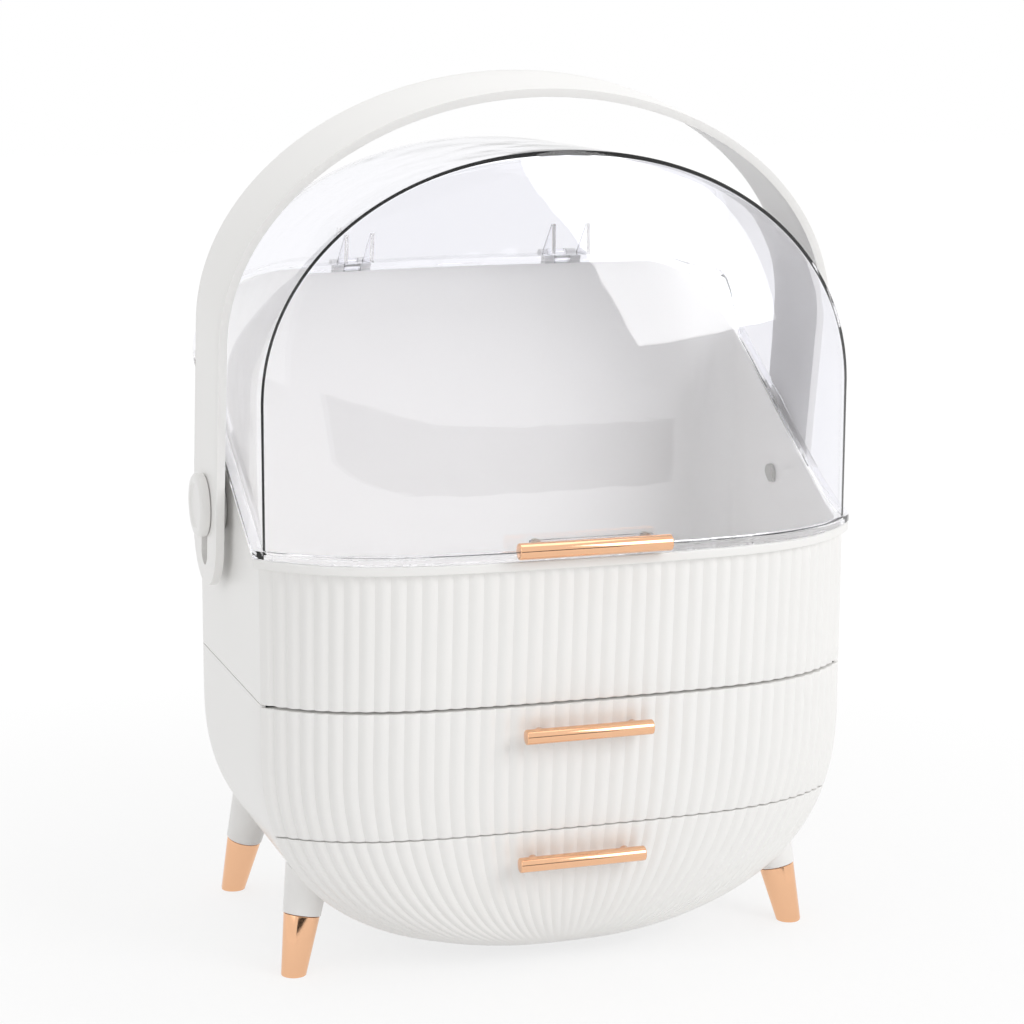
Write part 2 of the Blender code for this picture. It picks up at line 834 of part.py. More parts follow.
def add_lid_hinge_parts(lid):
    """Gusset ears on the rear ledge, and the lid's knuckles on its rear edge."""
    axis_y, axis_z = hinge_axis()
    ledge_z = rear_rim_z + seat_gap + flange_thickness
    root_z = ledge_z - flange_thickness / 2
    for centre, spacing in ((left_hinge_x, left_ear_spacing), (right_hinge_x, right_ear_spacing)):
        for side in (-1, 1):
            x = centre + side * spacing / 2
            root_y = dome_rear_y - dome_wall / 2
            outline = [(root_y, root_z), (dome_rear_y + ear_depth, root_z),
                       (dome_rear_y + ear_depth, ledge_z),
                       (dome_rear_y + ear_thickness / 2, ledge_z + ear_height), (root_y, ledge_z + ear_height)]
            x_range = (x - ear_thickness / 2, x + ear_thickness / 2)
            combine(lid, prism_x(outline, x_range), "UNION")
        x_range = knuckle_ranges(centre)[0]
        half = knuckle_tab_thickness / 2
        tab = boxed(x_range, (case_depth - 2 * flange_overhang, axis_y), (axis_z - half, axis_z + half))
        combine(lid, tab, "UNION")
        combine(lid, barrel(x_range, hinge_barrel_radius), "UNION")
        bore_range = (x_range[0] - overrun, x_range[1] + overrun)
        combine(lid, barrel(bore_range, hinge_pin_radius + running_gap))


def pull_plate_y():
    """Front face of the clear plate that carries the lid's pull."""
    return -front_bulge - flange_overhang + 2 * seat_gap


def add_pull_plate(lid):
    """The upright plate on the front of the flange that carries the lid's pull."""
    half = pull_plate_width / 2
    flange_top = front_rim_z + seat_gap + flange_thickness
    front_y = pull_plate_y()
    rear_y = front_y + pull_plate_thickness
    z_range = (flange_top - flange_thickness / 2, flange_top + pull_plate_height)
    combine(lid, boxed((-half, half), (front_y, rear_y), z_range), "UNION")
    for side in (-1, 1):
        combine(lid, lid_screw_bore(side, rear_y + overrun, front_y - overrun))


def build_lid(parent):
    """The clear lid: flange on the rim with its ears, knuckles and plate, then the dome on it."""
    low_z = front_rim_z - overrun
    band = rim_band(flange_plan(), flange_overhang, -dome_wall / 2, seat_gap, seat_gap + flange_thickness)
    item = add_object("lid", band, clear_plastic("Clear lid plastic"), parent)
    add_lid_hinge_parts(item)
    add_pull_plate(item)
    dome = combine(item, dome_block(0.0, low_z), "UNION")
    combine(dome, dome_block(dome_wall, low_z - overrun))
    sunk = seat_gap + flange_thickness / 2
    combine(dome, rim_band(dome_plan(), 2 * dome_wall, -2 * dome_wall, None, sunk))
    return item


def lid_screw_place(side):
    return side * lid_screw_spacing / 2, lid_pull_z + lid_screw_rise


def lid_screw_bore(side, start_y, end_y):
    x, z = lid_screw_place(side)
    radius = pull_screw_radius + running_gap
    return along_minus_y(turned([(radius, 0.0), (radius, start_y - end_y)], small_segments), (x, start_y, z))


def build_lid_pull(parent):
    seat_y = -front_bulge - flange_overhang - seat_gap
    bar = pull_mesh(lid_pull_length, lid_pull_radius, seat_y - lid_pull_radius, lid_pull_z)
    item = add_object("lid_pull", bar, rose_gold("Lid pull metal"), parent)
    head_y = pull_plate_y() + pull_plate_thickness + seat_gap + pull_screw_head_height
    tip_y = seat_y - lid_screw_reach
    for side_name, side in (("left", -1), ("right", 1)):
        combine(item, lid_screw_bore(side, seat_y + overrun, tip_y - seat_gap))
        x, z = lid_screw_place(side)
        screw = screw_mesh((x, 0.0, z), head_y, tip_y)
        add_object(f"lid_pull_{side_name}_screw", screw, bright_steel(f"Lid {side_name} screw steel"), parent)


def build_hinge_pins(parent):
    for name, centre in (("left", left_hinge_x), ("right", right_hinge_x)):
        outer = knuckle_ranges(centre)[1]
        x_range = (outer[0][0], outer[1][1])
        pin = barrel(x_range, hinge_pin_radius)
        add_object(f"{name}_hinge_pin", pin, bright_steel(f"{name} pin steel"), parent)


def band_stations():
    """Middle line of the handle band from the right arm's end over the top to the left one.

    Each station is (x, z, outward x, outward z, half width along Y), with the pivot as origin.
    """
    half_width = handle_width / 2 - band_thickness / 2
    rise = handle_apex_z - handle_spring_z - band_thickness / 2
    spring_z = handle_spring_z - handle_pivot_z
    end_radius = band_width / 2
    stations = []
    end_steps = 7
    least_width_share = 0.16
    for step in range(end_steps + 1):
        angle = math.pi / 2 * step / end_steps
        z = -arm_end_drop + end_radius * (1 - math.cos(angle))
        wide = end_radius * max(math.sin(angle), least_width_share)
        stations.append((half_width, z, 1.0, 0.0, wide))
    for step in range(band_steps + 1):
        angle = math.pi / 2 * step / band_steps
        x = half_width * math.cos(angle) ** (2 / handle_exponent) if step < band_steps else 0.0
        z = spring_z + rise * math.sin(angle) ** (2 / handle_exponent)
        outward = Vector((math.cos(angle) / half_width, math.sin(angle) / rise)).normalized()
        stations.append((x, z, outward.x, outward.y, end_radius))
    mirrored = [(-x, z, -out_x, out_z, wide) for x, z, out_x, out_z, wide in stations[-2::-1]]
    return stations + mirrored


def band_mesh():
    rings = []
    for x, z, out_x, out_z, wide in band_stations():
        thick = band_thickness / 2
        flat = thick - band_chamfer
        narrow = wide - band_chamfer
        section = [(thick, -narrow), (thick, narrow), (flat, wide), (-flat, wide),
                   (-thick, narrow), (-thick, -narrow), (-flat, -wide), (flat, -wide)]
        rings.append([(x + out_x * out, along, z + out_z * out) for out, along in section])
    return lofted(rings)


def slot_mesh(side):
    """Stadium cutter through one arm: its upper end holds the shank, its length is the lift."""
    radius = slot_width / 2
    steps = fine_segments // 2
    outline = []
    for step in range(steps + 1):
        angle = math.pi * step / steps
        outline.append((radius * math.cos(angle), radius * math.sin(angle)))
    for step in range(steps + 1):
        angle = math.pi + math.pi * step / steps
        outline.append((radius * math.cos(angle), radius * math.sin(angle) - handle_lift))
    inner = handle_width / 2 - band_thickness - overrun
    outer = handle_width / 2 + overrun
    return prism_x(outline, sorted((side * inner, side * outer)))


def build_handle(parent):
    item = add_object("handle_band", band_mesh(), white_plastic("Handle plastic"), parent)
    for side in (-1, 1):
        combine(item, slot_mesh(side))
    return item


def pivot_cylinder(side, profile):
    """A turned piece on the pivot, its heights counted from the middle plane outwards."""
    mesh = turned([(radius, height) for radius, height in profile], fine_segments)
    return moved(mesh, Matrix.Rotation(side * math.pi / 2, 4, "Y"))


def build_pivot(side_name, side, handle_parent, case_parent):
    """Button with its shank, the spacer boss behind the arm, and the screw from inside the bin."""
    outside = handle_width / 2
    inside = case_width / 2 + seat_gap
    shank_radius = slot_width / 2 - shank_clearance
    face = outside + seat_gap + button_thickness
    profile = [(shank_radius, inside + seat_gap), (shank_radius, outside + seat_gap),
               (button_radius - button_edge / 2, outside + seat_gap),
               (button_radius, outside + seat_gap + button_edge / 2),
               (button_radius, face - button_edge), (button_radius - button_edge, face),
               (button_dish_radius + button_dish_depth, face), (button_dish_radius, face - button_dish_depth)]
    material = white_plastic(f"{side_name} button plastic")
    button = add_object(f"{side_name}_pivot_button", pivot_cylinder(side, profile), material, handle_parent)
    bore_radius = pivot_screw_radius + running_gap
    bore_end = inside + pivot_screw_reach + seat_gap
    bore = [(bore_radius, inside - overrun), (bore_radius, bore_end)]
    combine(button, pivot_cylinder(side, bore))
    arm_face = outside - band_thickness - seat_gap
    hole = shank_radius + running_gap
    boss = pivot_cylinder(side, [(boss_radius, inside), (boss_radius, arm_face)])
    place = Matrix.Translation((0.0, handle_pivot_y, handle_pivot_z))
    material = white_plastic(f"{side_name} boss plastic")
    item = add_object(f"{side_name}_pivot_boss", moved(boss, place), material, case_parent)
    bore = pivot_cylinder(side, [(hole, inside - overrun), (hole, outside)])
    combine(item, moved(bore, place))
    head = case_width / 2 - case_wall - seat_gap
    screw = [(pivot_screw_head_radius, head - pivot_screw_head_height), (pivot_screw_head_radius, head),
             (pivot_screw_radius, head), (pivot_screw_radius, inside + pivot_screw_reach)]
    material = bright_steel(f"{side_name} screw steel")
    add_object(f"{side_name}_pivot_screw", pivot_cylinder(side, screw), material, handle_parent)


def leg_matrix(side, along, foot_y):
    """Places a leg that stands on its foot and leans out to the side and to the front or rear."""
    lean = Matrix.Rotation(-side * leg_lean_out, 4, "Y") @ Matrix.Rotation(along * leg_lean_along, 4, "X")
    return Matrix.Translation((side * foot_x, foot_y, 0.0)) @ lean


def below_floor():
    half = case_width
    return boxed((-half, half), (-half, half), (-tip_length, 0.0))


def build_leg(name, side, along, foot_y, parent):
    """A white cone under the shell and a rose gold tip, both square to the leg's slanted axis."""
    place = leg_matrix(side, along, foot_y)
    foot_drop = tip_end_radius * math.sin(leg_lean_out + leg_lean_along)
    start = -foot_drop
    tip = [(tip_end_radius - tip_rounding, start), (tip_end_radius, start + tip_rounding),
           (tip_top_radius, tip_length)]
    item = add_object(f"{name}_leg_tip", moved(turned(tip, fine_segments), place),
                      rose_gold(f"{name} tip metal"), parent)
    combine(item, below_floor())
    cone_start = tip_length + seat_gap
    cone = [(tip_top_radius + cone_step, cone_start), (cone_top_radius, leg_length)]
    cone_item = add_object(f"{name}_leg_cone", moved(turned(cone, fine_segments), place),
                           white_plastic(f"{name} cone plastic"), parent)
    under = egg_block(-seat_gap, seat_gap - overrun, case_depth + seat_gap,
                      rear_corner_radius + seat_gap, top_seam_z)
    combine(cone_item, under)


def build_legs(parent):
    rows = (("front", -1, front_foot_y), ("rear", 1, rear_foot_y))
    for row_name, along, foot_y in rows:
        for side_name, side in (("left", -1), ("right", 1)):
            build_leg(f"{row_name}_{side_name}", side, along, foot_y, parent)


def centre_shift():
    """Moves the middle of the whole object's depth to Y = 0."""
    front = -front_bulge - flange_overhang - seat_gap - 2 * lid_pull_radius
    rear = hinge_axis()[0] + hinge_barrel_radius
    return -(front + rear) / 2


def build_case(root):
    build_upper_bin(root)
    build_lower_shell(root)
    build_drawer_shelf(root)
    build_hinge_pins(root)
    build_legs(root)


def build_drawers(root):
    middle = add_empty("middle_drawer", (0.0, 0.0, 0.0), root)
    build_middle_front(middle)
    build_middle_tray(middle)
    build_drawer_pull("middle_drawer", middle_pull_z, middle)
    bottom = add_empty("bottom_drawer", (0.0, 0.0, 0.0), root)
    build_bottom_front(bottom)
    build_bottom_tray(bottom)
    build_drawer_pull("bottom_drawer", bottom_pull_z, bottom)


def build_handle_group(root):
    pivot = add_empty("handle_pivot", (0.0, handle_pivot_y, handle_pivot_z), root)
    pivot.rotation_euler = (handle_lean, 0.0, 0.0)
    build_handle(pivot)
    build_pivot("left", -1, pivot, root)
    build_pivot("right", 1, pivot, root)


def main():
    clear_scene()
    root = add_empty("organizer", (0.0, centre_shift(), 0.0), None)
    build_case(root)
    build_lid(root)
    build_lid_pull(root)
    build_drawers(root)
    build_handle_group(root)
    bpy.context.view_layer.update()


main()
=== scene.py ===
"""Dustproof makeup organizer: the visual pieces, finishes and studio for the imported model.

Laid out as an add-on. Each operator makes one piece or a group of like pieces, the panel lists
them, and main() runs them in order. Lengths are in metres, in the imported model's own frame.
"""

import json
import math
from collections import namedtuple

import bmesh
import bpy
from bpy.props import FloatProperty, FloatVectorProperty, IntProperty, PointerProperty
from mathutils import Matrix, Vector


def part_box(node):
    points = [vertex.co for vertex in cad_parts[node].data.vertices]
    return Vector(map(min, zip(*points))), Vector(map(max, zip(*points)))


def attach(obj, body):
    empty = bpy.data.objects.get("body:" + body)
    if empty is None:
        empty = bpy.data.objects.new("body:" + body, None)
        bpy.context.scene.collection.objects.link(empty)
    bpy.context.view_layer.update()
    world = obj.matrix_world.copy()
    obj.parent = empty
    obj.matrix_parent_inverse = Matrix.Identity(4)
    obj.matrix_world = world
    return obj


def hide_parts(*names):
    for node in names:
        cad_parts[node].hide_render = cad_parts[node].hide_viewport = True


bl_info = {
    "name": "Makeup Organizer",
    "version": (1, 0, 0),
    "blender": (4, 5, 0),
    "location": "3D View > Sidebar > Organizer",
    "description": "Builds the visual pieces and the studio of an egg-shaped makeup organizer",
    "category": "Object",
}

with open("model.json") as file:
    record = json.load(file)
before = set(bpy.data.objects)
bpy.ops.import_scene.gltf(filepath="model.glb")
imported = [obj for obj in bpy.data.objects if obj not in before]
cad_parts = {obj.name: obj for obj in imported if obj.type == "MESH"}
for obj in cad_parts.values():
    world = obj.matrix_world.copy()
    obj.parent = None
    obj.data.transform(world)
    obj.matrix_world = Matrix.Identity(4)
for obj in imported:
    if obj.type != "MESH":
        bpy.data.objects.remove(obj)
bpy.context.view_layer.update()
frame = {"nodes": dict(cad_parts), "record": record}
mm = 0.001

# The case, as in the part's source. Y is counted from the plane of the sharp front corners.
case_width = 0.280
case_depth = 0.1395
case_wall = 0.0025
rear_corner_radius = 0.020
case_bottom_z = 0.008
egg_widest_z = 0.112
egg_exponent = 2.5
bottom_seam_z = 0.0703
top_seam_z = 0.1314
bin_floor = 0.0025
front_rim_z = 0.198
side_rim_rear_z = 0.281
rear_rim_z = 0.310
rear_rim_flat_width = 0.162
rear_rim_radius = 0.0747
lip_height = 0.0042
side_lip_height = 0.0018
lip_overhang = 0.0026
side_lip_overhang = 0.0012
lip_run_share = 0.25
front_bulge = 0.0393
front_plan_exponent = 5.2
front_round_share = 0.2
bulge_fall_exponent = 1.1
bulge_end_exponent = 0.33
flute_count = 44
flute_fade_height = 0.014

# The clear lid and its hinges
dome_width = 0.2776
dome_spring_z = 0.2637
dome_apex_z = 0.3733
dome_exponent = 2.08
dome_front_y = -0.0035
dome_rear_y = 0.1226
dome_bulge = 0.0330
dome_wall = 0.0024
dome_corner_radius = 0.006
dome_middle_share = 0.45
flange_overhang = 0.0029
flange_rear_overhang = 0.0004
flange_thickness = 0.0036
ear_height = 0.0155
ear_depth = 0.0150
ear_thickness = 0.0020
pull_plate_width = 0.057
pull_plate_height = 0.0052
pull_plate_thickness = 0.0018
hinges = ((-0.0625, 0.013), (0.047, 0.018))
hinge_axis_setback = 0.0043
hinge_barrel_radius = 0.0032
hinge_pin_radius = 0.0012
lid_knuckle_width = 0.008
case_knuckle_width = 0.005
knuckle_web_height = 0.011
web_end_shares = ((0.5, 0.8), (-0.3, 0.6))

# Drawers and pulls
drawer_seam = 0.0007
bin_seam = 0.0010
front_skin = 0.0025
front_margin = 0.006
tray_wall = 0.0020
tray_clearance = 0.0010
tray_rear_clearance = 0.0030
middle_tray_height = 0.050
bottom_tray_drop = 0.0045
shelf_thickness = 0.0020
lid_pull_length = 0.071
lid_pull_radius = 0.0037
drawer_pull_length = 0.060
drawer_pull_radius = 0.0034
pull_post_radius = 0.0026
pull_post_spacing = 0.044

# The carry handle and its pivots
handle_pivot_y = 0.0733
handle_pivot_z = 0.209
handle_apex_z = 0.4046
handle_spring_z = 0.2908
handle_width = 0.296
handle_exponent = 2.0
band_width = 0.049
band_thickness = 0.0038
arm_end_drop = 0.038
handle_lean = math.radians(8.1)
handle_lift = 0.023
slot_width = 0.0122
button_radius = 0.0147
button_thickness = 0.0047
button_rim_radius = 0.0108
button_dish_radius = 0.0098
button_dish_depth = 0.0010
shank_clearance = 0.0004
boss_radius = 0.012

# Legs
foot_x = 0.1234
front_foot_y = 0.0128
rear_foot_y = 0.1395
leg_lean_out = math.radians(11.0)
leg_lean_along = math.radians(9.0)
leg_length = 0.060
cone_end_radius = 0.0088
cone_top_radius = 0.0112
tip_length = 0.0275
tip_end_radius = 0.0056
tip_top_radius = 0.0084

# Fits
seat_gap = 0.0003
running_gap = 0.0004
shell_gap = 0.0001
overrun = 0.002

# Radii on the numbered rows or rings of a profile, and radii used alone
fine_round = 0.0003
foot_round = 0.0005
lip_round = 0.0008
floor_round = 0.0015
tray_rounding = {0: lip_round, 1: foot_round, 2: foot_round, 3: floor_round}
flange_rounding = {0: foot_round, 1: 0.0012}
barrel_rounding = {1: fine_round, 2: fine_round}
bar_rounding = {1: 0.0006, 2: 0.0006}
button_rounding = {3: 0.0007, 4: 0.0016, 5: 0.0004, 6: 0.0006}
tip_rounding = {1: 0.0016, 2: fine_round}
cone_rounding = {1: 0.0004}
smooth_angle = math.radians(32)
sharp_angle = math.radians(50)
least_round_angle = math.radians(12)

# The studio. The floor's own glow takes over between its two radii.
floor_size = 12.0
floor_glow = 1.02
glow_start = 0.22
glow_end = 0.60
glow_least_share = 0.75
key_place = (1.1, -1.5, 1.2)
fill_place = (-1.8, -0.6, 0.9)
top_place = (0.1, 0.2, 1.7)
lamp_target = (0.0, 0.0, 0.2)
key_size = 1.0
soft_size = 1.2
card_size = (2.6, 0.35)
card_place = (-0.2, -2.2, 0.25)
card_target = (0.0, 0.0, 0.1)

# The camera, fitted to the photograph
camera_place = (-0.39984, -1.18020, 0.44332)
camera_yaw = 0.32126
camera_pitch = 0.19164
camera_roll = 0.00409

corner_plane_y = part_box("lower_shell")[1].y - case_depth

Plan = namedtuple("Plan", "half_width front bulge rear radius flute", defaults=(0.0,))
Column = namedtuple("Column", "kind share side flute", defaults=(0.0,))


# Colours and nodes

def linear(hex_colour):
    """An sRGB hex colour as the linear values that the shader sockets take."""
    channels = [int(hex_colour[i:i + 2], 16) / 255 for i in (1, 3, 5)]
    return tuple(c / 12.92 if c <= 0.04045 else ((c + 0.055) / 1.055) ** 2.4 for c in channels)


def add_node(tree, kind, inputs=None, **settings):
    """Adds a node, with its settings, and its sockets set to values or linked to other sockets."""
    node = tree.nodes.new(kind)
    for name, value in settings.items():
        setattr(node, name, value)
    for socket, value in (inputs or {}).items():
        if isinstance(value, bpy.types.NodeSocket):
            tree.links.new(value, node.inputs[socket])
        else:
            node.inputs[socket].default_value = value
    return node


def colour_of(name, hex_colour, use):
    return FloatVectorProperty(name=name, description="Colour of the " + use, subtype="COLOR", size=3,
                               min=0.0, max=1.0, default=linear(hex_colour))


def length_of(name, value, description):
    return FloatProperty(name=name, description=description, unit="LENGTH", precision=5, default=value)


def steps_of(name, value, low, high, description):
    return IntProperty(name=name, description=description, min=low, max=high, default=value)


def power_of(name, value, place):
    return FloatProperty(name=name, description="Power of the light " + place, unit="POWER", default=value)


class OrganizerColours(bpy.types.PropertyGroup):
    white: colour_of("White plastic", "#F7F6F4", "moulded case, drawers and handle")
    inside: colour_of("Tray plastic", "#F1F0EE", "drawer trays and the shelf")
    clear: colour_of("Clear plastic", "#FBFBFE", "clear lid")
    gold: colour_of("Rose gold", "#F0BE98", "plated pulls and leg tips")
    steel: colour_of("Steel", "#C9C9C6", "screws and the hinge pins")
    floor: colour_of("Floor", "#F4F4F4", "studio floor")


class OrganizerSizes(bpy.types.PropertyGroup):
    flute_depth: length_of("Flute depth", 0.0011, "How far the valleys between the ribs sink")
    valley_round: FloatProperty(name="Valley rounding", description="Softness of the valleys",
                                subtype="FACTOR", min=0.0, max=0.5, default=0.10)
    edge_round: length_of("Edge rounding", 0.0006, "Radius on the edges of the moulded parts")
    dome_front_round: length_of("Dome front rounding", 0.0034, "Radius round the front of the lid")
    dome_rear_round: length_of("Dome rear rounding", 0.0060, "Radius round the back of the lid")
    band_round: length_of("Handle rounding", 0.0013, "Radius along the edges of the handle")
    round_segments: steps_of("Segments round", 96, 16, 256, "Segments round the turned pieces")
    flute_steps: steps_of("Steps in a rib", 10, 4, 24, "Facets across each rib of the front")
    arch_steps: steps_of("Steps in the arch", 144, 24, 400, "Facets along the lid's arch and the handle's")


class OrganizerStudio(bpy.types.PropertyGroup):
    key_power: power_of("Key light", 13.0, "at the front right")
    fill_power: power_of("Fill light", 2.5, "at the left")
    top_power: power_of("Top light", 5.0, "overhead")
    room_level: FloatProperty(name="Room level", description="How bright the white room is on matt surfaces",
                              min=0.0, max=1.0, default=0.62)
    lens: FloatProperty(name="Lens", description="Focal length on a 36 mm sensor", unit="CAMERA",
                        default=95.0)


# Materials

def noise(tree, size, detail):
    """Noise through the object. Its scale is one over the size of its marks in metres."""
    place = add_node(tree, "ShaderNodeTexCoord").outputs["Object"]
    marks = add_node(tree, "ShaderNodeTexNoise", {"Vector": place, "Scale": 1 / size, "Detail": detail})
    return marks.outputs["Fac"]


def vary_colour(tree, shader, marks, colour, dark_share, light_share):
    tint = add_node(tree, "ShaderNodeMix", {"Factor": marks}, data_type="RGBA")
    for socket, share in (("A", dark_share), ("B", light_share)):
        tint.inputs[socket].default_value = (*[min(c * share, 1.0) for c in colour], 1.0)
    tree.links.new(tint.outputs["Result"], shader.inputs["Base Color"])


def vary_roughness(tree, shader, marks, low, high):
    rough = add_node(tree, "ShaderNodeMapRange", {"Value": marks, "To Min": low, "To Max": high})
    tree.links.new(rough.outputs["Result"], shader.inputs["Roughness"])


def add_relief(tree, shader, marks, height, strength=1.0):
    bump = add_node(tree, "ShaderNodeBump", {"Height": marks, "Distance": height, "Strength": strength})
    tree.links.new(bump.outputs["Normal"], shader.inputs["Normal"])


def moulded_abs(tree, shader, colour, roughness, grain_mm=1.1, relief_mm=0.012, flow_mm=38):
    """Injection-moulded ABS: an even white with a soft gloss, faint flow marks and a fine skin."""
    flow = noise(tree, flow_mm * mm, 3.0)
    vary_colour(tree, shader, flow, colour, 0.985, 1.01)
    # The mould's polish differs a little from place to place.
    vary_roughness(tree, shader, flow, roughness - 0.03, roughness + 0.04)
    # A real moulded skin is finer than a pixel here, so it is drawn about three times as coarse.
    add_relief(tree, shader, noise(tree, grain_mm * mm, 4.0), relief_mm * mm, 0.5)
    shader.inputs["IOR"].default_value = 1.53


def clear_styrene(tree, shader, colour, wave_mm=26, relief_mm=0.10, haze=0.025):
    """Injection-moulded clear plastic: polished, faintly cool in its edges, with slight flow waves."""
    waves = noise(tree, wave_mm * mm, 1.5)
    vary_roughness(tree, shader, waves, 0.0, haze)
    add_relief(tree, shader, waves, relief_mm * mm, 0.6)
    shader.inputs["Base Color"].default_value = (*colour, 1.0)
    shader.inputs["Transmission Weight"].default_value = 1.0
    shader.inputs["IOR"].default_value = 1.49


def rose_gold_plate(tree, shader, colour, ripple_mm=4, relief_mm=0.02, wipe_mm=12):
    """Rose gold plating on polished metal: mirror-like, with a faint orange-peel ripple and wipe marks."""
    add_relief(tree, shader, noise(tree, ripple_mm * mm, 2.0), relief_mm * mm, 0.5)
    wipe = noise(tree, wipe_mm * mm, 5.0)
    vary_roughness(tree, shader, wipe, 0.07, 0.16)
    vary_colour(tree, shader, wipe, colour, 0.97, 1.03)
    shader.inputs["Metallic"].default_value = 1.0


def zinc_plated_steel(tree, shader, colour, mark_mm=0.6, relief_mm=0.01):
    """Zinc-plated steel: a bright grey metal with the fine marks of turning and heading."""
    marks = noise(tree, mark_mm * mm, 4.0)
    vary_roughness(tree, shader, marks, 0.22, 0.38)
    add_relief(tree, shader, marks, relief_mm * mm)
    shader.inputs["Base Color"].default_value = (*colour, 1.0)
    shader.inputs["Metallic"].default_value = 1.0


def finish_of(name, make, colour, **settings):
    """A material by its name, made the first time it is asked for."""
    material = bpy.data.materials.get(name)
    if material is None:
        material = bpy.data.materials.new(name)
        material.use_nodes = True
        tree = material.node_tree
        make(tree, tree.nodes["Principled BSDF"], colour, **settings)
    return material


def white_finish():
    colours = bpy.context.scene.organizer_colours
    return finish_of("Moulded white ABS", moulded_abs, colours.white, roughness=0.30)


def tray_finish():
    colours = bpy.context.scene.organizer_colours
    return finish_of("Moulded tray ABS", moulded_abs, colours.inside, roughness=0.42, relief_mm=0.02)


def clear_finish():
    return finish_of("Clear moulded styrene", clear_styrene, bpy.context.scene.organizer_colours.clear)


def gold_finish():
    return finish_of("Rose gold plating", rose_gold_plate, bpy.context.scene.organizer_colours.gold)


def steel_finish():
    return finish_of("Zinc-plated steel", zinc_plated_steel, bpy.context.scene.organizer_colours.steel)


slot_finishes = {"white_plastic": white_finish, "clear_plastic": clear_finish, "rose_gold": gold_finish,
                 "steel": steel_finish}


# Mesh helpers

def smoothed(data):
    data.shade_smooth()
    data.set_sharp_from_angle(angle=smooth_angle)
    return data


def add_object(name, mesh):
    data = bpy.data.meshes.new(name)
    mesh.to_mesh(data)
    mesh.free()
    item = bpy.data.objects.new(name, smoothed(data))
    bpy.context.scene.collection.objects.link(item)
    return item


def settle(item):
    """Turns an object's modifiers into its mesh."""
    bpy.context.view_layer.update()
    graph = bpy.context.evaluated_depsgraph_get()
    data = bpy.data.meshes.new_from_object(item.evaluated_get(graph))
    item.modifiers.clear()
    item.data = smoothed(data)
    return item


def bevelled(item, width, segments):
    """Rounds an object's sharp edges."""
    bevel = item.modifiers.new("Edges", "BEVEL")
    bevel.width = width
    bevel.segments = segments
    bevel.limit_method = "ANGLE"
    bevel.angle_limit = sharp_angle
    return settle(item)


def combined(item, tool_mesh, operation="DIFFERENCE"):
    """Cuts a tool body out of an object, or joins it, and keeps only the result."""
    tool = add_object("tool", tool_mesh)
    modifier = item.modifiers.new("Join", "BOOLEAN")
    modifier.operation = operation
    modifier.solver = "EXACT"
    modifier.object = tool
    settle(item)
    bpy.data.objects.remove(tool)
    return item


def finish_piece(item, slot, body, *nodes, finish=None):
    """Gives a piece the material of its slot, lets it ride on its body, and hides the nodes it stands for.
    """
    item.data.materials.clear()
    item.data.materials.append((finish or slot_finishes[slot])())
    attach(item, body)
    if nodes:
        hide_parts(*nodes)
    if len(item.data.polygons) == 0:
        raise RuntimeError(item.name + " came out empty")
    return item


def recalculate(mesh):
    bmesh.ops.recalc_face_normals(mesh, faces=mesh.faces)
    return mesh


def sheet(rows, around=False, capped=False, rounding=None):
    """A grid drawn through rows of points; row numbers in rounding get their edges bevelled."""
    mesh = bmesh.new()
    count = len(rows[0])
    across = count if around else count - 1
    along = len(rows) - 1
    bmesh.ops.create_grid(mesh, x_segments=across, y_segments=along, size=0.5)
    row_of = mesh.verts.layers.int.new("row")
    for vert in mesh.verts:
        column = round((vert.co.x + 0.5) * across)
        row = round((vert.co.y + 0.5) * along)
        vert.co = rows[row][column % count]
        vert.co.y += corner_plane_y
        vert[row_of] = row + 1
    bmesh.ops.remove_doubles(mesh, verts=mesh.verts, dist=0.001 * mm)
    if capped:
        edges = [edge for edge in mesh.edges if edge.is_boundary]
        bmesh.ops.holes_fill(mesh, edges=edges, sides=0)
    soften(mesh, row_of, rounding or {})
    return recalculate(mesh)


def round_edges(mesh, edges, radius, segments=3):
    bmesh.ops.bevel(mesh, geom=edges, offset=radius, offset_type="OFFSET", segments=segments, profile=0.5,
                    affect="EDGES", material=-1, clamp_overlap=True)


def soften(mesh, row_of, rounding):
    for row, radius in rounding.items():
        edges = [edge for edge in mesh.edges if all(vert[row_of] == row + 1 for vert in edge.verts)
                 and edge.calc_face_angle(0.0) > least_round_angle]
        round_edges(mesh, edges, radius)


def turned(profile, rounding=None, segments=None):
    """A closed solid of revolution about Z, spun from (radius, height) points, with rounded rings."""
    segments = segments or bpy.context.scene.organizer_sizes.round_segments
    mesh = bmesh.new()
    row_of = mesh.verts.layers.int.new("row")
    verts = []
    for number, (radius, height) in enumerate(profile):
        vert = mesh.verts.new((radius, 0.0, height))
        vert[row_of] = number + 1
        verts.append(vert)
    edges = [mesh.edges.new(pair) for pair in zip(verts, verts[1:])]
    bmesh.ops.spin(mesh, geom=verts + edges, cent=(0, 0, 0), axis=(0, 0, 1), angle=math.tau, steps=segments,
                   use_merge=True)
    bmesh.ops.remove_doubles(mesh, verts=mesh.verts, dist=0.001 * mm)
    open_edges = [edge for edge in mesh.edges if edge.is_boundary]
    if open_edges:
        bmesh.ops.holes_fill(mesh, edges=open_edges, sides=0)
    soften(mesh, row_of, rounding or {})
    return recalculate(mesh)


def moved(mesh, matrix):
    bmesh.ops.transform(mesh, matrix=matrix, verts=mesh.verts)
    return recalculate(mesh)


def merged(meshes):
    """One mesh of several closed bodies."""
    whole = bmesh.new()
    for mesh in meshes:
        data = bpy.data.meshes.new("joined")
        mesh.to_mesh(data)
        mesh.free()
        whole.from_mesh(data)
        bpy.data.meshes.remove(data)
    return whole


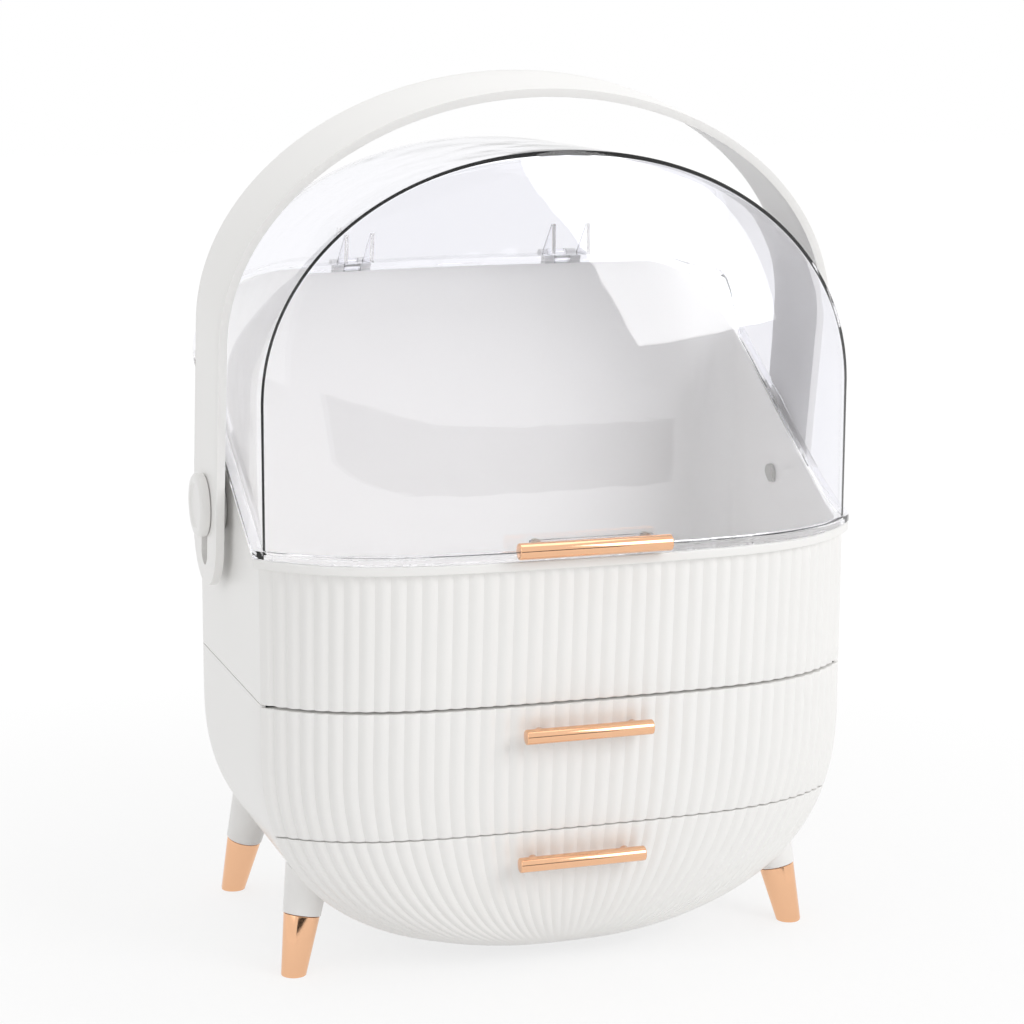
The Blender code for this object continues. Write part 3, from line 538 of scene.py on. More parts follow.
def prism_x(outline, x_range, radius=0.0):
    """An outline of (y, z) points extruded along X, with its edges rounded."""
    mesh = bmesh.new()
    verts = [mesh.verts.new((x_range[0], y + corner_plane_y, z)) for y, z in outline]
    face = mesh.faces.new(verts)
    made = bmesh.ops.extrude_face_region(mesh, geom=[face])["geom"]
    far = [part for part in made if isinstance(part, bmesh.types.BMVert)]
    bmesh.ops.translate(mesh, verts=far, vec=(x_range[1] - x_range[0], 0, 0))
    if radius:
        round_edges(mesh, list(mesh.edges), radius)
    return recalculate(mesh)


def along_x(mesh, x, y, z):
    """Turns a solid about Z to run along +X from a place."""
    return moved(mesh, Matrix.Translation((x, y + corner_plane_y, z)) @ Matrix.Rotation(math.pi / 2, 4, "Y"))


def along_minus_y(mesh, x, y, z):
    return moved(mesh, Matrix.Translation((x, y + corner_plane_y, z)) @ Matrix.Rotation(math.pi / 2, 4, "X"))


def blended(low, high, share):
    return low + (high - low) * share


def spread(low, high, steps):
    return [blended(low, high, step / steps) for step in range(steps + 1)]


# The case's form

def bulge_share(z):
    """How far the pillow front stands out at a height, from 1 at the rim to 0 at the case bottom."""
    fall = min(max((front_rim_z - z) / (front_rim_z - case_bottom_z), 0.0), 1.0)
    return (1 - fall ** bulge_fall_exponent) ** bulge_end_exponent


def egg_half_width(z):
    if z >= egg_widest_z:
        return case_width / 2
    drop = min((egg_widest_z - z) / (egg_widest_z - case_bottom_z), 1.0)
    return case_width / 2 * (1 - drop ** egg_exponent) ** (1 / egg_exponent)


def case_plan(z):
    half_width = egg_half_width(z)
    fade = min((z - case_bottom_z) / flute_fade_height, 1.0)
    depth = bpy.context.scene.organizer_sizes.flute_depth
    flute = depth * fade * half_width / (case_width / 2)
    return Plan(half_width, 0.0, front_bulge * bulge_share(z), case_depth, rear_corner_radius, flute)


def front_share(t):
    """Shape of the front in plan: 1 in the middle, 0 at the corners."""
    return (1 - front_round_share) * (1 - abs(t) ** front_plan_exponent) + front_round_share * (1 - t * t)


def front_slope(t):
    steep = front_plan_exponent * abs(t) ** (front_plan_exponent - 1) * math.copysign(1, t)
    return (1 - front_round_share) * steep + front_round_share * 2 * t


def fluted_columns():
    """Columns across the front with the depth share of the ribs, counted along its curve."""
    sizes = bpy.context.scene.organizer_sizes
    fine = 4000
    places = [2 * step / fine - 1 for step in range(fine + 1)]
    run = [0.0]
    for first, second in zip(places, places[1:]):
        across = (second - first) * case_width / 2
        back = front_bulge * (front_share(second) - front_share(first))
        run.append(run[-1] + math.hypot(across, back))
    steps = flute_count * sizes.flute_steps
    phases = [flute_count * step / steps for step in range(steps + 1)]
    columns = []
    index = 0
    soft = sizes.valley_round
    for phase in phases:
        target = run[-1] * phase / flute_count
        while index < fine - 1 and run[index + 1] < target:
            index += 1
        share = blended(places[index], places[index + 1],
                        min((target - run[index]) / (run[index + 1] - run[index]), 1.0))
        plain = phase < 0.5 or phase > flute_count - 0.5
        wave = math.sqrt(math.sin(math.pi * phase) ** 2 + soft ** 2) / math.sqrt(1 + soft ** 2)
        columns.append(Column("front", share, 0, 0.0 if plain else 1 - wave))
    return columns


def plain_columns(steps):
    """Columns across a front without ribs, somewhat closer together towards its corners."""
    shares = spread(-1.0, 1.0, steps)
    return [Column("front", blended(share, math.sin(math.pi / 2 * share), 0.5), 0) for share in shares]


def plan_columns(front, side_steps=24, corner_steps=12, rear_steps=48):
    """The columns of a wall once round the case, anticlockwise from the front left corner."""
    columns = list(front)
    columns += [Column("side", step / side_steps, 1) for step in range(1, side_steps)]
    columns += [Column("corner", step / corner_steps, 1) for step in range(corner_steps)]
    columns += [Column("rear", math.cos(math.pi * step / rear_steps), 0) for step in range(rear_steps + 1)]
    columns += [Column("corner", 1 - step / corner_steps, -1) for step in range(1, corner_steps + 1)]
    columns += [Column("side", 1 - step / side_steps, -1) for step in range(1, side_steps)]
    return columns


def front_place(column, plan, offset):
    t = column.share
    normal = Vector((plan.bulge * front_slope(t), -plan.half_width)).normalized()
    if abs(t) > 1 - 1e-9:
        side = Vector((math.copysign(1, t), 0.0))
        normal = (normal + side) / (1 + normal.dot(side))
    y = plan.front - plan.bulge * front_share(t)
    return t * plan.half_width + normal.x * offset, y + normal.y * offset


def plan_place(column, plan, offset=0.0):
    if column.kind == "front":
        return front_place(column, plan, offset - column.flute * plan.flute)
    if column.kind == "side":
        run = plan.rear - plan.radius - plan.front
        return column.side * (plan.half_width + offset), plan.front + column.share * run
    centre_x = plan.half_width - plan.radius
    if column.kind == "corner":
        angle = column.share * math.pi / 2
        reach = plan.radius + offset
        return (column.side * (centre_x + reach * math.cos(angle)),
                plan.rear - plan.radius + reach * math.sin(angle))
    return column.share * centre_x, plan.rear + offset


def rear_rim_height(x):
    beyond = min(max(abs(x) - rear_rim_flat_width / 2, 0.0), rear_rim_radius)
    return rear_rim_z - rear_rim_radius + math.sqrt(rear_rim_radius ** 2 - beyond ** 2)


def side_rim_height(y):
    share = min(max(y / case_depth, 0.0), 1.0)
    return blended(front_rim_z, side_rim_rear_z, share)


def rim_height(column):
    """Height of the bin's rim: level in front, sloped at the sides, arched behind."""
    x, y = plan_place(column, case_plan(front_rim_z))
    if column.kind == "front":
        return front_rim_z
    if column.kind == "side":
        return side_rim_height(y)
    if column.kind == "rear":
        return rear_rim_height(x)
    blend = column.share ** 2 * (3 - 2 * column.share)
    return blended(side_rim_height(y), rear_rim_height(x), blend)


def front_weight(column):
    """1 on the front, falling to 0 a short way along each side."""
    if column.kind == "front":
        return 1.0
    return max(1 - column.share / lip_run_share, 0.0) if column.kind == "side" else 0.0


def smooth(columns):
    return [column._replace(flute=0.0) for column in columns]


def ring(columns, plan, heights, offsets):
    """One row of points round a plan, with a height and an outward offset at each column."""
    row = []
    for column, height, offset in zip(columns, heights, offsets):
        x, y = plan_place(column, plan, offset)
        row.append(Vector((x, y, height)))
    return row


# Pieces

class ORGANIZER_OT_upper_bin(bpy.types.Operator):
    """Makes the fluted upper bin with its rounded lip, its floor and its hinge knuckles"""
    bl_idname = "organizer.upper_bin"
    bl_label = "Upper Bin"

    def execute(self, context):
        sizes = context.scene.organizer_sizes
        columns = plan_columns(fluted_columns())
        plain = smooth(columns)
        count = len(columns)
        rim = [rim_height(column) for column in columns]
        weights = [front_weight(column) for column in columns]
        overhangs = [blended(side_lip_overhang, lip_overhang, w) for w in weights]
        lip_low = [top - blended(side_lip_height, lip_height, w) for top, w in zip(rim, weights)]
        base_z = top_seam_z + seat_gap
        inner = [-(case_wall + sizes.flute_depth * w) for w in weights]
        rows = []
        wall_steps = 8
        for step in range(wall_steps + 1):
            share = step / wall_steps
            plan = case_plan(blended(base_z, front_rim_z, share))
            heights = [blended(base_z, low, share) for low in lip_low]
            rows.append(ring(columns, plan, heights, [0.0] * count))
        top_plan = case_plan(front_rim_z)
        rows.append(ring(plain, top_plan, lip_low, overhangs))
        rows.append(ring(plain, top_plan, rim, overhangs))
        rows.append(ring(plain, top_plan, rim, inner))
        floor_z = base_z + bin_floor
        for step in range(1, wall_steps + 1):
            share = step / wall_steps
            plan = case_plan(blended(front_rim_z, floor_z, share))
            heights = [blended(top, floor_z, share) for top in rim]
            rows.append(ring(plain, plan, heights, inner))
        last = len(rows) - 1
        rounding = {0: sizes.edge_round, wall_steps + 1: foot_round, wall_steps + 2: lip_round,
                    wall_steps + 3: sizes.edge_round, last: floor_round}
        shell = sheet(rows, around=True, capped=True, rounding=rounding)
        item = add_object("fluted_bin", shell)
        finish_piece(item, "white_plastic", "case", "upper_bin")
        knuckles = add_object("case_knuckles", merged(case_knuckle_meshes()))
        finish_piece(knuckles, "white_plastic", "case")
        return {"FINISHED"}


def hinge_axis():
    return case_depth + hinge_axis_setback, rear_rim_z + seat_gap + flange_thickness / 2


def barrel(x_range):
    """A knuckle's barrel with its bore, along X on the hinge axis."""
    axis_y, axis_z = hinge_axis()
    bore = hinge_pin_radius + running_gap
    outer = hinge_barrel_radius
    width = x_range[1] - x_range[0]
    profile = [(bore, 0.0), (outer, 0.0), (outer, width), (bore, width), (bore, 0.0)]
    return along_x(turned(profile, barrel_rounding, segments=48), x_range[0], axis_y, axis_z)


def knuckle_ranges(centre):
    near = lid_knuckle_width / 2 + running_gap
    far = near + case_knuckle_width
    half = lid_knuckle_width / 2
    return (centre - half, centre + half), ((centre - far, centre - near), (centre + near, centre + far))


def case_knuckle_meshes():
    axis_y, axis_z = hinge_axis()
    root_y = case_depth - case_wall / 2
    under = axis_z - flange_thickness / 2 - 2 * seat_gap
    # The web runs from the bin's back wall up into the lower side of the barrel.
    ends = [(axis_y + along * hinge_barrel_radius, axis_z - down * hinge_barrel_radius)
            for along, down in web_end_shares]
    web = [(root_y, axis_z - knuckle_web_height), *ends, (root_y, under)]
    meshes = []
    for centre, _ in hinges:
        for x_range in knuckle_ranges(centre)[1]:
            meshes.append(prism_x(web, (x_range[0] + seat_gap, x_range[1] - seat_gap), fine_round))
            meshes.append(barrel(x_range))
    return meshes


def egg_outline(inset, top_z, steps):
    """The case's outline seen from the front, open at the top, moved in square to itself."""
    half_width = case_width / 2
    tall = egg_widest_z - case_bottom_z
    points = [(half_width - inset, z) for z in spread(top_z, egg_widest_z, 4)[:-1]]
    for step in range(steps + 1):
        angle = math.pi * step / steps
        cosine = math.cos(angle)
        across = math.copysign(abs(cosine) ** (2 / egg_exponent), cosine)
        down = abs(math.sin(angle)) ** (2 / egg_exponent)
        slope = Vector((math.copysign(abs(across) ** (egg_exponent - 1), across) / half_width,
                        -down ** (egg_exponent - 1) / tall)).normalized()
        points.append((half_width * across - slope.x * inset, egg_widest_z - tall * down - slope.y * inset))
    points += [(inset - half_width, z) for z in spread(egg_widest_z, top_z, 4)[1:]]
    return points


def egg_rows(inset, front_y, rear_y, radius, top_z, steps=None):
    """Rows of the outline from the front to the rear corner, which is rounded."""
    steps = steps or context_steps()
    rows = [[Vector((x, y, z)) for x, z in egg_outline(inset, top_z, steps)]
            for y in spread(front_y, rear_y - radius, 6)]
    corner_steps = 10
    for step in range(1, corner_steps + 1):
        angle = math.pi / 2 * step / corner_steps
        y = rear_y - radius + radius * math.sin(angle)
        further = inset + radius * (1 - math.cos(angle))
        rows.append([Vector((x, y, z)) for x, z in egg_outline(further, top_z, steps)])
    return rows


def context_steps():
    return bpy.context.scene.organizer_sizes.arch_steps


def egg_solid(inset, front_y, rear_y, radius, top_z):
    rows = egg_rows(inset, front_y, rear_y, radius, top_z)
    return sheet(rows, around=True, capped=True)


class ORGANIZER_OT_lower_shell(bpy.types.Operator):
    """Makes the egg-shaped lower case, open in front and on top"""
    bl_idname = "organizer.lower_shell"
    bl_label = "Lower Shell"

    def execute(self, context):
        outer = egg_solid(0.0, seat_gap, case_depth, rear_corner_radius, top_seam_z)
        item = add_object("egg_shell", outer)
        combined(item, egg_solid(case_wall, -overrun, case_depth - case_wall, rear_corner_radius - case_wall,
                                 top_seam_z + overrun))
        bevelled(item, context.scene.organizer_sizes.edge_round, 3)
        finish_piece(item, "white_plastic", "case", "lower_shell")
        return {"FINISHED"}


def front_rows(heights, columns):
    rows = []
    for z in heights:
        plan = case_plan(z)
        rows.append([Vector((*plan_place(column, plan), z)) for column in columns])
    return rows


def pocket_solid(heights, depth_of_flute):
    """The hollow behind a drawer front, leaving the skin and a flat margin all round."""
    columns = plain_columns(40)
    rows = []
    for z in heights:
        plan = case_plan(z)
        half_width = plan.half_width - front_margin
        row = []
        for column in columns:
            x = column.share * half_width
            depth = plan.bulge * front_share(x / plan.half_width) - front_skin - depth_of_flute
            row.append(Vector((x, -max(depth, -overrun / 2), z)))
        row.append(Vector((half_width, overrun, z)))
        row.append(Vector((-half_width, overrun, z)))
        rows.append(row)
    return sheet(rows, around=True, capped=True)


def egg_heights(low, high, steps):
    """Heights that follow the egg's outline, closer together towards its bottom."""
    tall = egg_widest_z - case_bottom_z
    angles = [math.asin(min((egg_widest_z - z) / tall, 1.0) ** (egg_exponent / 2)) for z in (low, high)]
    return [egg_widest_z - tall * math.sin(angle) ** (2 / egg_exponent) for angle in spread(*angles, steps)]


class ORGANIZER_OT_drawer_fronts(bpy.types.Operator):
    """Makes the two fluted drawer fronts, hollow behind"""
    bl_idname = "organizer.drawer_fronts"
    bl_label = "Drawer Fronts"

    def execute(self, context):
        sizes = context.scene.organizer_sizes
        columns = fluted_columns()
        low = bottom_seam_z + drawer_seam / 2
        high = top_seam_z - bin_seam
        middle = (spread(low, high, 10), spread(low + front_margin, high - front_margin, 8))
        low = case_bottom_z + seat_gap
        high = bottom_seam_z - drawer_seam / 2
        bottom = (egg_heights(low, high, 36), egg_heights(low + front_margin, high - front_margin, 16))
        for name, (heights, pocket) in (("middle", middle), ("bottom", bottom)):
            rounding = {len(heights) - 1: sizes.edge_round}
            if name == "middle":
                rounding[0] = sizes.edge_round
            mesh = sheet(front_rows(heights, columns), around=True, capped=True, rounding=rounding)
            item = add_object(name + "_fluted_front", mesh)
            combined(item, pocket_solid(pocket, sizes.flute_depth))
            finish_piece(item, "white_plastic", name + "_drawer", name + "_drawer_front")
        return {"FINISHED"}


class ORGANIZER_OT_trays(bpy.types.Operator):
    """Makes the two drawer trays with rounded rims"""
    bl_idname = "organizer.trays"
    bl_label = "Trays"

    def execute(self, context):
        low = bottom_seam_z + seat_gap
        half_width = egg_half_width(low) - case_wall - tray_clearance
        rear_y = case_depth - case_wall - tray_rear_clearance
        plan = Plan(half_width, seat_gap, 0.0, rear_y, rear_corner_radius - case_wall)
        ends = [Column("front", side, 0) for side in (-1.0, 1.0)]
        columns = plan_columns(ends, side_steps=4, rear_steps=4)
        count = len(columns)
        high = low + middle_tray_height
        rows = [ring(columns, plan, [z] * count, [0.0] * count) for z in (low, high)]
        rows += [ring(columns, plan, [z] * count, [-tray_wall] * count) for z in (high, low + tray_wall)]
        mesh = sheet(rows, around=True, capped=True, rounding=tray_rounding)
        finish_piece(add_object("middle_tray", mesh), "white_plastic", "middle_drawer", "middle_drawer_tray",
                     finish=tray_finish)
        inset = case_wall + tray_clearance
        top_z = bottom_seam_z - shelf_thickness - bottom_tray_drop
        outer = egg_solid(inset, seat_gap, rear_y, rear_corner_radius - inset, top_z * 2)
        item = add_object("bottom_tray", outer)
        inner = inset + tray_wall
        combined(item, egg_solid(inner, seat_gap + tray_wall, rear_y - tray_wall, rear_corner_radius - inner,
                                 top_z * 2 + overrun))
        half = case_width / 2
        above = [(-overrun, top_z), (case_depth, top_z), (case_depth, top_z * 3), (-overrun, top_z * 3)]
        combined(item, prism_x(above, (-half, half)))
        finish_piece(item, "white_plastic", "bottom_drawer", "bottom_drawer_tray", finish=tray_finish)
        return {"FINISHED"}


def dome_plan():
    return Plan(dome_width / 2, dome_front_y, dome_bulge, dome_rear_y, dome_corner_radius)


def dome_front_depth(z):
    share = min(max((z - front_rim_z) / (dome_apex_z - front_rim_z), 0.0), 1.0)
    return dome_bulge * (1 - share ** 2)


def dome_half_width(z, inset):
    """Half the lid's width at a height: straight sides, then an arch."""
    rise = max(z - dome_spring_z, 0.0) / (dome_apex_z - inset - dome_spring_z)
    return (dome_width / 2 - inset) * max(1 - rise ** dome_exponent, 0.0) ** (1 / dome_exponent)


def dome_loop(inset, low_z):
    """The lid's outline seen from the front as a closed loop of (x, z), from its right foot."""
    steps = context_steps() // 2
    foot = dome_width / 2 - inset
    rise = dome_apex_z - inset - dome_spring_z
    half = [(foot, z) for z in spread(low_z, dome_spring_z, 10)[:-1]]
    for step in range(steps + 1):
        angle = math.pi / 2 * step / steps
        across = math.cos(angle) ** (2 / dome_exponent) if step < steps else 0.0
        half.append((foot * across, dome_spring_z + rise * math.sin(angle) ** (2 / dome_exponent)))
    loop = half + [(-x, z) for x, z in half[-2::-1]]
    across_steps = 48
    for step in range(1, across_steps):
        loop.append((foot * math.sin(math.pi / 2 * (2 * step / across_steps - 1)), low_z))
    return loop


def dome_solid(inset, low_z):
    """The lid's form as a solid: bulging front, barrel and flat back, with round edges."""
    sizes = bpy.context.scene.organizer_sizes
    loop = dome_loop(inset, low_z)
    centre_z = blended(low_z, dome_apex_z - inset, dome_middle_share)
    rear_y = dome_rear_y - inset
    rows = []
    front_steps = 24
    for step in range(front_steps + 1):
        share = math.sin(math.pi / 2 * step / front_steps)
        row = []
        for x, z in loop:
            z = blended(centre_z, z, share)
            across = min(abs(share * x) / max(dome_half_width(z, inset), 1e-6), 1.0)
            depth = dome_front_depth(z) * front_share(across)
            row.append(Vector((share * x, dome_front_y + inset - depth, z)))
        rows.append(row)
    front_edge = len(rows) - 1
    edge_y = [point.y for point in rows[-1]]
    for share in spread(0.0, 1.0, 12)[1:]:
        rows.append([Vector((x, blended(y, rear_y, share), z)) for (x, z), y in zip(loop, edge_y)])
    rear_edge = len(rows) - 1
    for share in (0.75, 0.5, 0.25, 0.0):
        rows.append([Vector((share * x, rear_y, blended(centre_z, z, share))) for x, z in loop])
    mesh = sheet(rows, around=True)
    row_of = mesh.verts.layers.int["row"]
    for edge_row, radius in ((front_edge, sizes.dome_front_round), (rear_edge, sizes.dome_rear_round)):
        edges = [edge for edge in mesh.edges if all(vert[row_of] == edge_row + 1 for vert in edge.verts)
                 and max(vert.co.z for vert in edge.verts) > low_z + 0.1 * mm]
        round_edges(mesh, edges, radius - inset, segments=6)
    return recalculate(mesh)


def rim_band(outer_plan, outer_offset, inner_offset, low_z, high_z, rounding=None, steps=96):
    """A closed band above the rim, from outside the flange to inside the lid's wall."""
    columns = plan_columns(plain_columns(steps))
    rim = [rim_height(column) for column in columns]
    count = len(columns)
    low = [z + low_z for z in rim] if low_z is not None else [case_bottom_z] * count
    high = [z + high_z for z in rim]
    rows = [ring(columns, outer_plan, low, [outer_offset] * count),
            ring(columns, outer_plan, high, [outer_offset] * count),
            ring(columns, dome_plan(), high, [inner_offset] * count),
            ring(columns, dome_plan(), low, [inner_offset] * count)]
    rows.append(rows[0])
    return sheet(rows, around=True, rounding=rounding)


def flange_plan():
    return case_plan(front_rim_z)._replace(rear=case_depth - flange_overhang + flange_rear_overhang)


def pull_plate_y():
    return -front_bulge - flange_overhang + 2 * seat_gap


def ear_meshes():
    """Gusset ears that stand on the lid's rear ledge, a pair at each hinge."""
    ledge_z = rear_rim_z + seat_gap + flange_thickness
    root_y = dome_rear_y - dome_wall / 2
    sunk_z = ledge_z - flange_thickness / 2
    outline = [(root_y, sunk_z), (dome_rear_y + ear_depth, sunk_z), (dome_rear_y + ear_depth, ledge_z),
               (dome_rear_y + ear_thickness / 2, ledge_z + ear_height), (root_y, ledge_z + ear_height)]
    meshes = []
    for centre, spacing in hinges:
        for side in (-1, 1):
            x = centre + side * spacing / 2
            meshes.append(prism_x(outline, (x - ear_thickness / 2, x + ear_thickness / 2)))
    return meshes


def lid_knuckle_meshes():
    axis_y, axis_z = hinge_axis()
    near = case_depth - 2 * flange_overhang
    far = axis_y - hinge_pin_radius * 2
    low = axis_z - flange_thickness / 3
    high = axis_z + flange_thickness / 3
    tab = [(near, low), (far, low), (far, high), (near, high)]
    meshes = []
    for centre, _ in hinges:
        x_range = knuckle_ranges(centre)[0]
        meshes.append(prism_x(tab, (x_range[0] + seat_gap, x_range[1] - seat_gap)))
        meshes.append(barrel(x_range))
    return meshes


class ORGANIZER_OT_clear_lid(bpy.types.Operator):
    """Makes the clear lid: its dome, the flange round its rim, the ears, knuckles and pull plate"""
    bl_idname = "organizer.clear_lid"
    bl_label = "Clear Lid"

    def execute(self, context):
        half = pull_plate_width / 2
        top = front_rim_z + seat_gap + flange_thickness
        front = pull_plate_y()
        rear = front + pull_plate_thickness
        plate = [(front, top - flange_thickness / 2), (rear, top - flange_thickness / 2),
                 (rear, top + pull_plate_height), (front, top + pull_plate_height)]
        flange = add_object("flange", rim_band(flange_plan(), flange_overhang, -dome_wall / 2, seat_gap,
                                               seat_gap + flange_thickness, flange_rounding))
        for mesh in ear_meshes() + lid_knuckle_meshes() + [prism_x(plate, (-half, half))]:
            combined(flange, mesh, "UNION")
        low_z = front_rim_z - overrun
        dome = add_object("clear_dome", dome_solid(0.0, low_z))
        combined(dome, dome_solid(dome_wall, low_z - overrun))
        sunk = seat_gap + flange_thickness / 2
        combined(dome, rim_band(dome_plan(), 2 * dome_wall, -2 * dome_wall, None, sunk, steps=40))
        fixed = bmesh.new()
        fixed.from_mesh(flange.data)
        combined(dome, fixed, "UNION")
        bpy.data.objects.remove(flange)
        finish_piece(dome, "clear_plastic", "lid", "lid")
        # The lamps shine through the clear lid on what stands behind it.
        dome.visible_shadow = False
        return {"FINISHED"}


def pull_bar(length, radius, y, z):
    bar = turned([(0.0, 0.0), (radius, 0.0), (radius, length), (0.0, length)], bar_rounding)
    return along_x(bar, -length / 2, y, z)


class ORGANIZER_OT_pulls(bpy.types.Operator):
    """Makes the three round rose gold pulls with their posts"""
    bl_idname = "organizer.pulls"
    bl_label = "Pulls"

    def execute(self, context):
        bars = (("lid_pull", "lid", lid_pull_radius, lid_pull_length),
                ("middle_drawer_pull", "middle_drawer", drawer_pull_radius, drawer_pull_length),
                ("bottom_drawer_pull", "bottom_drawer", drawer_pull_radius, drawer_pull_length))
        for name, body, radius, length in bars:
            low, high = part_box(name)
            y = low.y + radius - corner_plane_y
            z = (low.z + high.z) / 2
            meshes = [pull_bar(length, radius, y, z)]
            if body != "lid":
                reach = high.y - corner_plane_y - y
                profile = [(0.0, 0.0), (pull_post_radius, 0.0), (pull_post_radius, reach), (0.0, reach)]
                for side in (-1, 1):
                    post = turned(profile, {1: fine_round})
                    meshes.append(along_minus_y(post, side * pull_post_spacing / 2, y + reach, z))
            finish_piece(add_object(name + "_bar", merged(meshes)), "rose_gold", body, name)
        return {"FINISHED"}


def band_rows():
    """Rows of the handle band's section from the right arm's end over the top to the left one."""
    half_width = handle_width / 2 - band_thickness / 2
    rise = handle_apex_z - handle_spring_z - band_thickness / 2
    spring_z = handle_spring_z - handle_pivot_z
    radius = band_width / 2
    stations = []
    end_steps = 24
    for step in range(1, end_steps + 1):
        angle = math.pi / 2 * step / end_steps
        z = radius * (1 - math.cos(angle)) - arm_end_drop
        stations.append((half_width, z, 1.0, 0.0, radius * math.sin(angle)))
    for z in spread(radius - arm_end_drop, spring_z, 16)[1:-1]:
        stations.append((half_width, z, 1.0, 0.0, radius))
    steps = context_steps() // 2
    for step in range(steps + 1):
        angle = math.pi / 2 * step / steps
        outward = Vector((math.cos(angle) / half_width, math.sin(angle) / rise)).normalized()
        x = half_width * math.cos(angle) ** (2 / handle_exponent) if step < steps else 0.0
        z = spring_z + rise * math.sin(angle) ** (2 / handle_exponent)
        stations.append((x, z, outward.x, outward.y, radius))
    stations += [(-x, z, -out_x, out_z, wide) for x, z, out_x, out_z, wide in stations[-2::-1]]
    rows = []
    thick = band_thickness / 2
    for x, z, out_x, out_z, wide in stations:
        outer = [(thick, along) for along in (-wide, -wide / 2, 0.0, wide / 2, wide)]
        section = outer + [(-thick, along) for _, along in reversed(outer)]
        rows.append([Vector((x + out_x * out, along - corner_plane_y, z + out_z * out))
                     for out, along in section])
    return rows


def handle_place():
    """Turns the handle's own frame, with the pivot as origin, to its place in the model."""
    return (Matrix.Translation((0.0, handle_pivot_y + corner_plane_y, handle_pivot_z))
            @ Matrix.Rotation(handle_lean, 4, "X"))


class ORGANIZER_OT_handle(bpy.types.Operator):
    """Makes the carry handle: a flat arched band with round ends and a slot in each arm"""
    bl_idname = "organizer.handle"
    bl_label = "Handle"

    def execute(self, context):
        mesh = sheet(band_rows(), around=True, capped=True)
        item = add_object("handle_band_arch", mesh)
        for side in (-1, 1):
            x = side * handle_width / 2
            outline = []
            for start, drop in ((0, 0.0), (1, handle_lift)):
                for share in spread(0.0, 1.0, 32):
                    angle = math.pi * (start + share)
                    outline.append((slot_width / 2 * math.cos(angle) - corner_plane_y,
                                    slot_width / 2 * math.sin(angle) - drop))
            combined(item, prism_x(outline, (x - 3 * band_thickness, x + 3 * band_thickness)))
        bevelled(item, context.scene.organizer_sizes.band_round, 4)
        item.data.transform(handle_place())
        finish_piece(item, "white_plastic", "handle", "handle_band")
        return {"FINISHED"}


def on_pivot(mesh, side):
    """Turns a solid about Z, its heights counted from the middle plane, onto the pivot axis."""
    place = Matrix.Translation((0.0, handle_pivot_y + corner_plane_y, handle_pivot_z))
    return moved(mesh, place @ Matrix.Rotation(side * math.pi / 2, 4, "Y"))


class ORGANIZER_OT_pivots(bpy.types.Operator):
    """Makes the pivot buttons with their dished faces, and the bosses behind the arms"""
    bl_idname = "organizer.pivots"
    bl_label = "Pivots"

    def execute(self, context):
        outside = handle_width / 2 + seat_gap
        inside = case_width / 2 + seat_gap
        face = outside + button_thickness
        dish = face - button_dish_depth
        shank = slot_width / 2 - shank_clearance
        button = [(0.0, inside + seat_gap), (shank, inside + seat_gap), (shank, outside),
                  (button_radius, outside), (button_radius, face), (button_rim_radius, face),
                  (button_dish_radius, dish), (0.0, dish)]
        end = handle_width / 2 - band_thickness - seat_gap
        bore = shank + running_gap
        boss = [(bore, inside), (boss_radius, inside), (boss_radius, end), (bore, end), (bore, inside)]
        for name, side in (("left", -1), ("right", 1)):
            item = add_object(name + "_button", on_pivot(turned(button, button_rounding), side))
            finish_piece(item, "white_plastic", "pivots", name + "_pivot_button")
            item = add_object(name + "_boss", on_pivot(turned(boss, {2: foot_round}), side))
            finish_piece(item, "white_plastic", "case", name + "_pivot_boss")
        return {"FINISHED"}


class ORGANIZER_OT_legs(bpy.types.Operator):
    """Makes the four white leg cones and their rose gold tips"""
    bl_idname = "organizer.legs"
    bl_label = "Legs"

    def execute(self, context):
        drop = -tip_end_radius * math.sin(leg_lean_out + leg_lean_along)
        tip = [(0.0, drop), (tip_end_radius, drop), (tip_top_radius, tip_length), (0.0, tip_length)]
        start = tip_length + seat_gap
        cone = [(0.0, start), (cone_end_radius, start), (cone_top_radius, leg_length), (0.0, leg_length)]
        half = case_width
        floor = [(-half, -tip_length), (half, -tip_length), (half, 0.0), (-half, 0.0)]
        for row, along, foot_y in (("front", -1, front_foot_y), ("rear", 1, rear_foot_y)):
            for name, side in (("left", -1), ("right", 1)):
                prefix = f"{row}_{name}"
                lean = (Matrix.Rotation(-side * leg_lean_out, 4, "Y")
                        @ Matrix.Rotation(along * leg_lean_along, 4, "X"))
                place = Matrix.Translation((side * foot_x, foot_y + corner_plane_y, 0.0)) @ lean
                item = add_object(prefix + "_tip", moved(turned(tip, tip_rounding), place))
                combined(item, prism_x(floor, (-half, half)))
                finish_piece(item, "rose_gold", "case", prefix + "_leg_tip")
                item = add_object(prefix + "_cone", moved(turned(cone, cone_rounding), place))
                combined(item, egg_solid(-shell_gap, -overrun, case_depth + seat_gap, rear_corner_radius,
                                         top_seam_z))
                finish_piece(item, "white_plastic", "case", prefix + "_leg_cone")
        return {"FINISHED"}


class ORGANIZER_OT_plain_nodes(bpy.types.Operator):
    """Gives the screws, pins and shelf, whose solids are shown as they are, their finishes"""
    bl_idname = "organizer.plain_nodes"
    bl_label = "Screws, Pins and Shelf"

    def execute(self, context):
        slots = {part["node"]: part["material_slot"] for part in frame["record"]["subparts"]}
        for name, node in frame["nodes"].items():
            finish = tray_finish if name == "drawer_shelf" else slot_finishes[slots[name]]
            node.data.materials.clear()
            node.data.materials.append(finish())
        return {"FINISHED"}


# Studio

